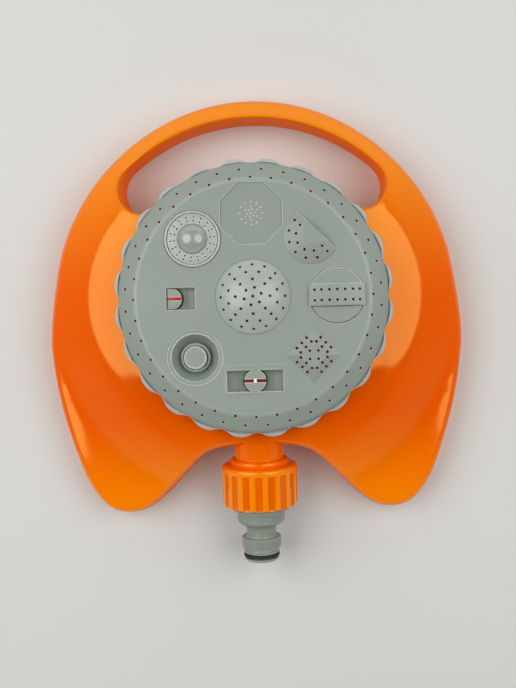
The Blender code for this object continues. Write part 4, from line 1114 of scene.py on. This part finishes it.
def jet_funnel():
    """The funnel round the jet, with a low rounded lip."""
    well = turn("jet_well", [
        (6.15, 48.3), (6.7, 48.5), (9.0, 51.5), (9.15, 52.0), (9.3, 52.2), (9.34, 51.8),
        (9.34, CHAMBER), (6.15, CHAMBER)], 96)
    # The well's grey is painted darker towards its bottom, as shade.
    fit(well, DIAL @ cell_at(JET), ["jet_sleeve"], shaded_well_abs)
    lip = turn("jet_lip", [
        (9.36, 52.1), (9.45, 52.35), (9.6, 52.48), (9.8, 52.45), (9.95, 52.2), (10.1, 52.05),
        (11.2, 52.0), (11.45, 52.15), (CELL, 52.0), (CELL, CHAMBER), (9.36, CHAMBER)], 96)
    fit(lip, DIAL @ cell_at(JET), [], grey_abs)


def jet_post():
    """The capped post in the funnel, on its shoulder ring."""
    post = turn("jet_post", [
        (0, 52.1), (4.0, 52.1), (4.2, 52.32), (4.5, 52.32), (4.7, 52.15), (4.75, 51.9), (4.75, 48.6),
        (5.1, 48.6), (5.15, 49.9), (5.3, 50.05), (5.7, 50.05), (5.95, 49.9), (6.05, 49.6),
        (6.1, CHAMBER), (0, CHAMBER)], 72)
    fit(post, DIAL @ cell_at(JET), ["jet_nozzle"], grey_abs)


# Hose coupling, measured along the inlet's axis

RIBS = 18
RIB_HEIGHT = 0.65
RIB_MIDDLE = 0.23
# The nut's ribbed grip: where it starts and ends along the axis, and the radius inside it
GRIP_START, GRIP_END, GRIP_INSIDE = -74.9, -89.8, 15
FLATS_START, FLATS_END = 92.5, 98.6
HALF_ACROSS_FLATS = 10.15


def between_ribs(degrees):
    """Whether an angle round the nut is on one of its ribs, 0, or between two, 1."""
    pitch = 360 / RIBS
    away = np.abs((degrees + 5.4) % pitch / pitch - RIB_MIDDLE)
    return np.clip((np.minimum(away, 1 - away) - 0.20) / 0.06, 0, 1)


def nut_ribs(radius, height, degrees):
    """Flat ribs round the nut's grip, sharp at the sides."""
    if radius < GRIP_INSIDE or not GRIP_END <= height <= GRIP_START:
        return radius
    return radius - RIB_HEIGHT * between_ribs(degrees)


def painted_groove_shade(centres):
    """The faces between the nut's ribs, which are painted darker as shade, in metres, so that a
    millimetre is all the way.
    """
    x, y, height = centres.T
    grip = (reach_of(centres) > GRIP_INSIDE) & (height < GRIP_START) & (height > GRIP_END)
    return grip * between_ribs(np.degrees(np.arctan2(y, x))) * MM


def swivel_nut():
    """The ribbed nut with its smooth shoulder and its rounded neck ring."""
    outside = [
        (10.8, 69.4), (12.0, 69.4), (12.6, 69.6), (12.95, 70.05), (13.05, 70.7), (12.95, 71.35),
        (12.6, 71.8), (12.45, 72.0), (15.3, 72.0), (16.0, 72.15), (16.45, 72.5), (16.68, 73.0),
        (16.7, 73.6), (16.7, 74.3), (16.6, 74.65), (16.45, 74.85), (16.45, 75.0), (16.45, 88.4),
        (16.3, 89.1), (15.9, 89.7), (15.3, 90.05), (14.6, 90.1), (12.6, 90.1), (12.6, 74.3),
        (10.8, 74.3)]
    nut = turn("ribbed_nut", [(radius, -along) for radius, along in outside], RIBS * 20, nut_ribs)
    # The grooves between the ribs are painted darker, as shade.
    mark(nut, "groove", painted_groove_shade)
    fit(nut, INLET, ["swivel_nut"], nut_abs, 30, "coupling")


def spanner_flats(radius, height, degrees):
    """The twelve flats for a spanner, turned so that a corner is near the top."""
    if not FLATS_START <= -height <= FLATS_END:
        return radius
    away = abs((degrees + 5) % 30 - 15)
    return min(radius, HALF_ACROSS_FLATS / math.cos(math.radians(away)))


def hose_nipple():
    """Threaded plug, flange, spanner flats, neck, collar and grooved nose."""
    outside = [
        (9.2, 81.9), (12.2, 81.9), (12.2, 92.3), (10.7, 92.35), (10.4, 92.45), (10.8, 92.6),
        (10.8, 96.5), (10.4, 97.0), (9.4, 98.1), (8.2, 98.9), (7.1, 99.3), (6.7, 99.5), (6.6, 99.9),
        (6.6, 103.8), (6.7, 104.2), (8.4, 104.4), (8.7, 104.65), (8.7, 108.2),
        (8.55, 108.8), (7.7, 109.1), (7.55, 109.35), (7.7, 109.6), (7.8, 109.9), (7.8, 111.1),
        (7.7, 111.3), (6.3, 111.3), (6.3, 113.7), (7.5, 113.7), (7.6, 113.9), (7.5, 114.3),
        (7.1, 114.75), (4.6, 114.75), (4.6, 90.5), (9.2, 84.0)]
    profile = [(radius, -along) for radius, along in outside]
    nipple = turn("push_fit_nipple", profile, 144, spanner_flats)
    fit(nipple, INLET, ["hose_nipple"], nipple_abs, 22, "coupling")


def nipple_seal():
    section = [(7.2 + x, -112.5 + y) for x, y in arc(0.75, 90, -240, 11)]
    seal = turn("nipple_seal", section, 72)
    fit(seal, INLET, ["nipple_o_ring"], nitrile, 60, "coupling")


def dress_hidden_nodes():
    """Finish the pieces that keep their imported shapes, as they show only inside."""
    finishes = {"chamber_plate": red_abs, "port_seal": nitrile, "inlet_washer": nitrile,
                "retaining_ring": nylon_and_gap_shade, "inlet_filter": nylon_and_gap_shade,
                "hub_washer": steel, "hub_screw": steel}
    for name, material in finishes.items():
        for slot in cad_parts[name].material_slots:
            slot.material = material


# Studio

BACKDROP = "#D4D4D0"


def area_lamp(name, place, size, power):
    """A round soft lamp that is turned to the middle of the base."""
    lamp = bpy.data.lights.new(name, "AREA")
    lamp.shape = "DISK"
    lamp.size = size
    lamp.energy = power
    stand = in_scene(name, lamp)
    stand.location = place
    stand.rotation_euler = (-Vector(place)).to_track_quat("-Z", "Y").to_euler()


def pale_for_camera(tree, share, lit, pale, surface):
    """Show the camera a plain pale tone instead of what is lit, by a share."""
    ray = add(tree, "ShaderNodeLightPath").outputs["Is Camera Ray"]
    seen = ray
    if share:
        product = add(tree, "ShaderNodeMath", {"operation": "MULTIPLY"}, {0: share, 1: ray})
        seen = product.outputs["Value"]
    mix = add(tree, "ShaderNodeMixShader", None, {0: seen, 1: lit, 2: pale.outputs[0]})
    tree.links.new(mix.outputs["Shader"], surface)


def paper_floor():
    """Pale paper that stays as pale far away, out of the lamps' reach, as it is round the object."""
    shape = bmesh.new()
    bmesh.ops.create_circle(shape, cap_ends=True, segments=64, radius=2.5)
    floor = piece_from("floor", shape)
    floor.location.z = -0.0002
    paper, tree, inputs = new_material("pale_paper")
    inputs["Base Color"].default_value = linear("#D2D2CE")
    inputs["Roughness"].default_value = 0.9
    place = add(tree, "ShaderNodeTexCoord").outputs["Object"]
    away = add(tree, "ShaderNodeVectorMath", {"operation": "LENGTH"}, {"Vector": place})
    far = ramp(tree, away.outputs["Value"], 0.2, 0.65, smooth=True)
    glow = add(tree, "ShaderNodeEmission", {"Color": linear(BACKDROP), "Strength": 1.0})
    pale_for_camera(tree, far, tree.nodes["Principled BSDF"].outputs["BSDF"], glow,
                    tree.nodes["Material Output"].inputs["Surface"])
    floor.data.materials.append(paper)


def room():
    """A room that is dark overhead and light near the horizon, a little lighter behind the object."""
    world = bpy.data.worlds.new("room")
    bpy.context.scene.world = world
    world.use_nodes = True
    tree = world.node_tree
    way = add(tree, "ShaderNodeTexCoord").outputs["Generated"]
    split = add(tree, "ShaderNodeSeparateXYZ", None, {"Vector": way}).outputs
    aside = add(tree, "ShaderNodeMath", {"operation": "ABSOLUTE"}, {0: split["Y"]})
    ends = ramp(tree, aside.outputs["Value"], 0.1, 0.8, 0.25)
    back = ramp(tree, split["Y"], -0.8, 0.8, 0.8, 1.1)
    level = add(tree, "ShaderNodeMath", {"operation": "MULTIPLY"}, {0: ends, 1: back})
    light = tree.nodes["Background"]
    tree.links.new(ramp(tree, split["Z"], 0.62, 0.35, 0.03, level.outputs["Value"]),
                   light.inputs["Strength"])
    light.inputs["Color"].default_value = (0.97, 0.98, 1.0, 1.0)
    backdrop = add(tree, "ShaderNodeBackground", {"Color": linear(BACKDROP), "Strength": 1.0})
    pale_for_camera(tree, None, light.outputs["Background"], backdrop,
                    tree.nodes["World Output"].inputs["Surface"])


def studio():
    """A pale floor and two round soft lamps beside the object, in a room."""
    paper_floor()
    area_lamp("left_soft_lamp", (-0.45, 0.09, 0.63), 0.73, 4.2)
    area_lamp("right_soft_lamp", (0.43, 0.09, 0.64), 0.70, 3.5)
    room()


def camera():
    """The photograph's view: straight down from 0.44 m, turned a degree and a half."""
    lens = bpy.data.cameras.new("camera")
    lens.lens = 50.0
    lens.sensor_width = 36.0
    lens.shift_x = -0.034
    lens.clip_start = 0.01
    view = in_scene("camera", lens)
    view.location = (0.011, -0.007, 0.441)
    view.rotation_euler = (0, 0, math.radians(-1.5))
    bpy.context.scene.camera = view
    bpy.context.scene.view_settings.view_transform = "Standard"


camera()
studio()
base_moulding()
grip_ring()
dial_cover()
fan_core()
middle_rose()
mist_insert()
half_moon()
bar_insert()
diamond_insert()
ring_insert()
button()
two_way_pan()
one_way_nozzle()
jet_funnel()
jet_post()
swivel_nut()
hose_nipple()
nipple_seal()
dress_hidden_nodes()
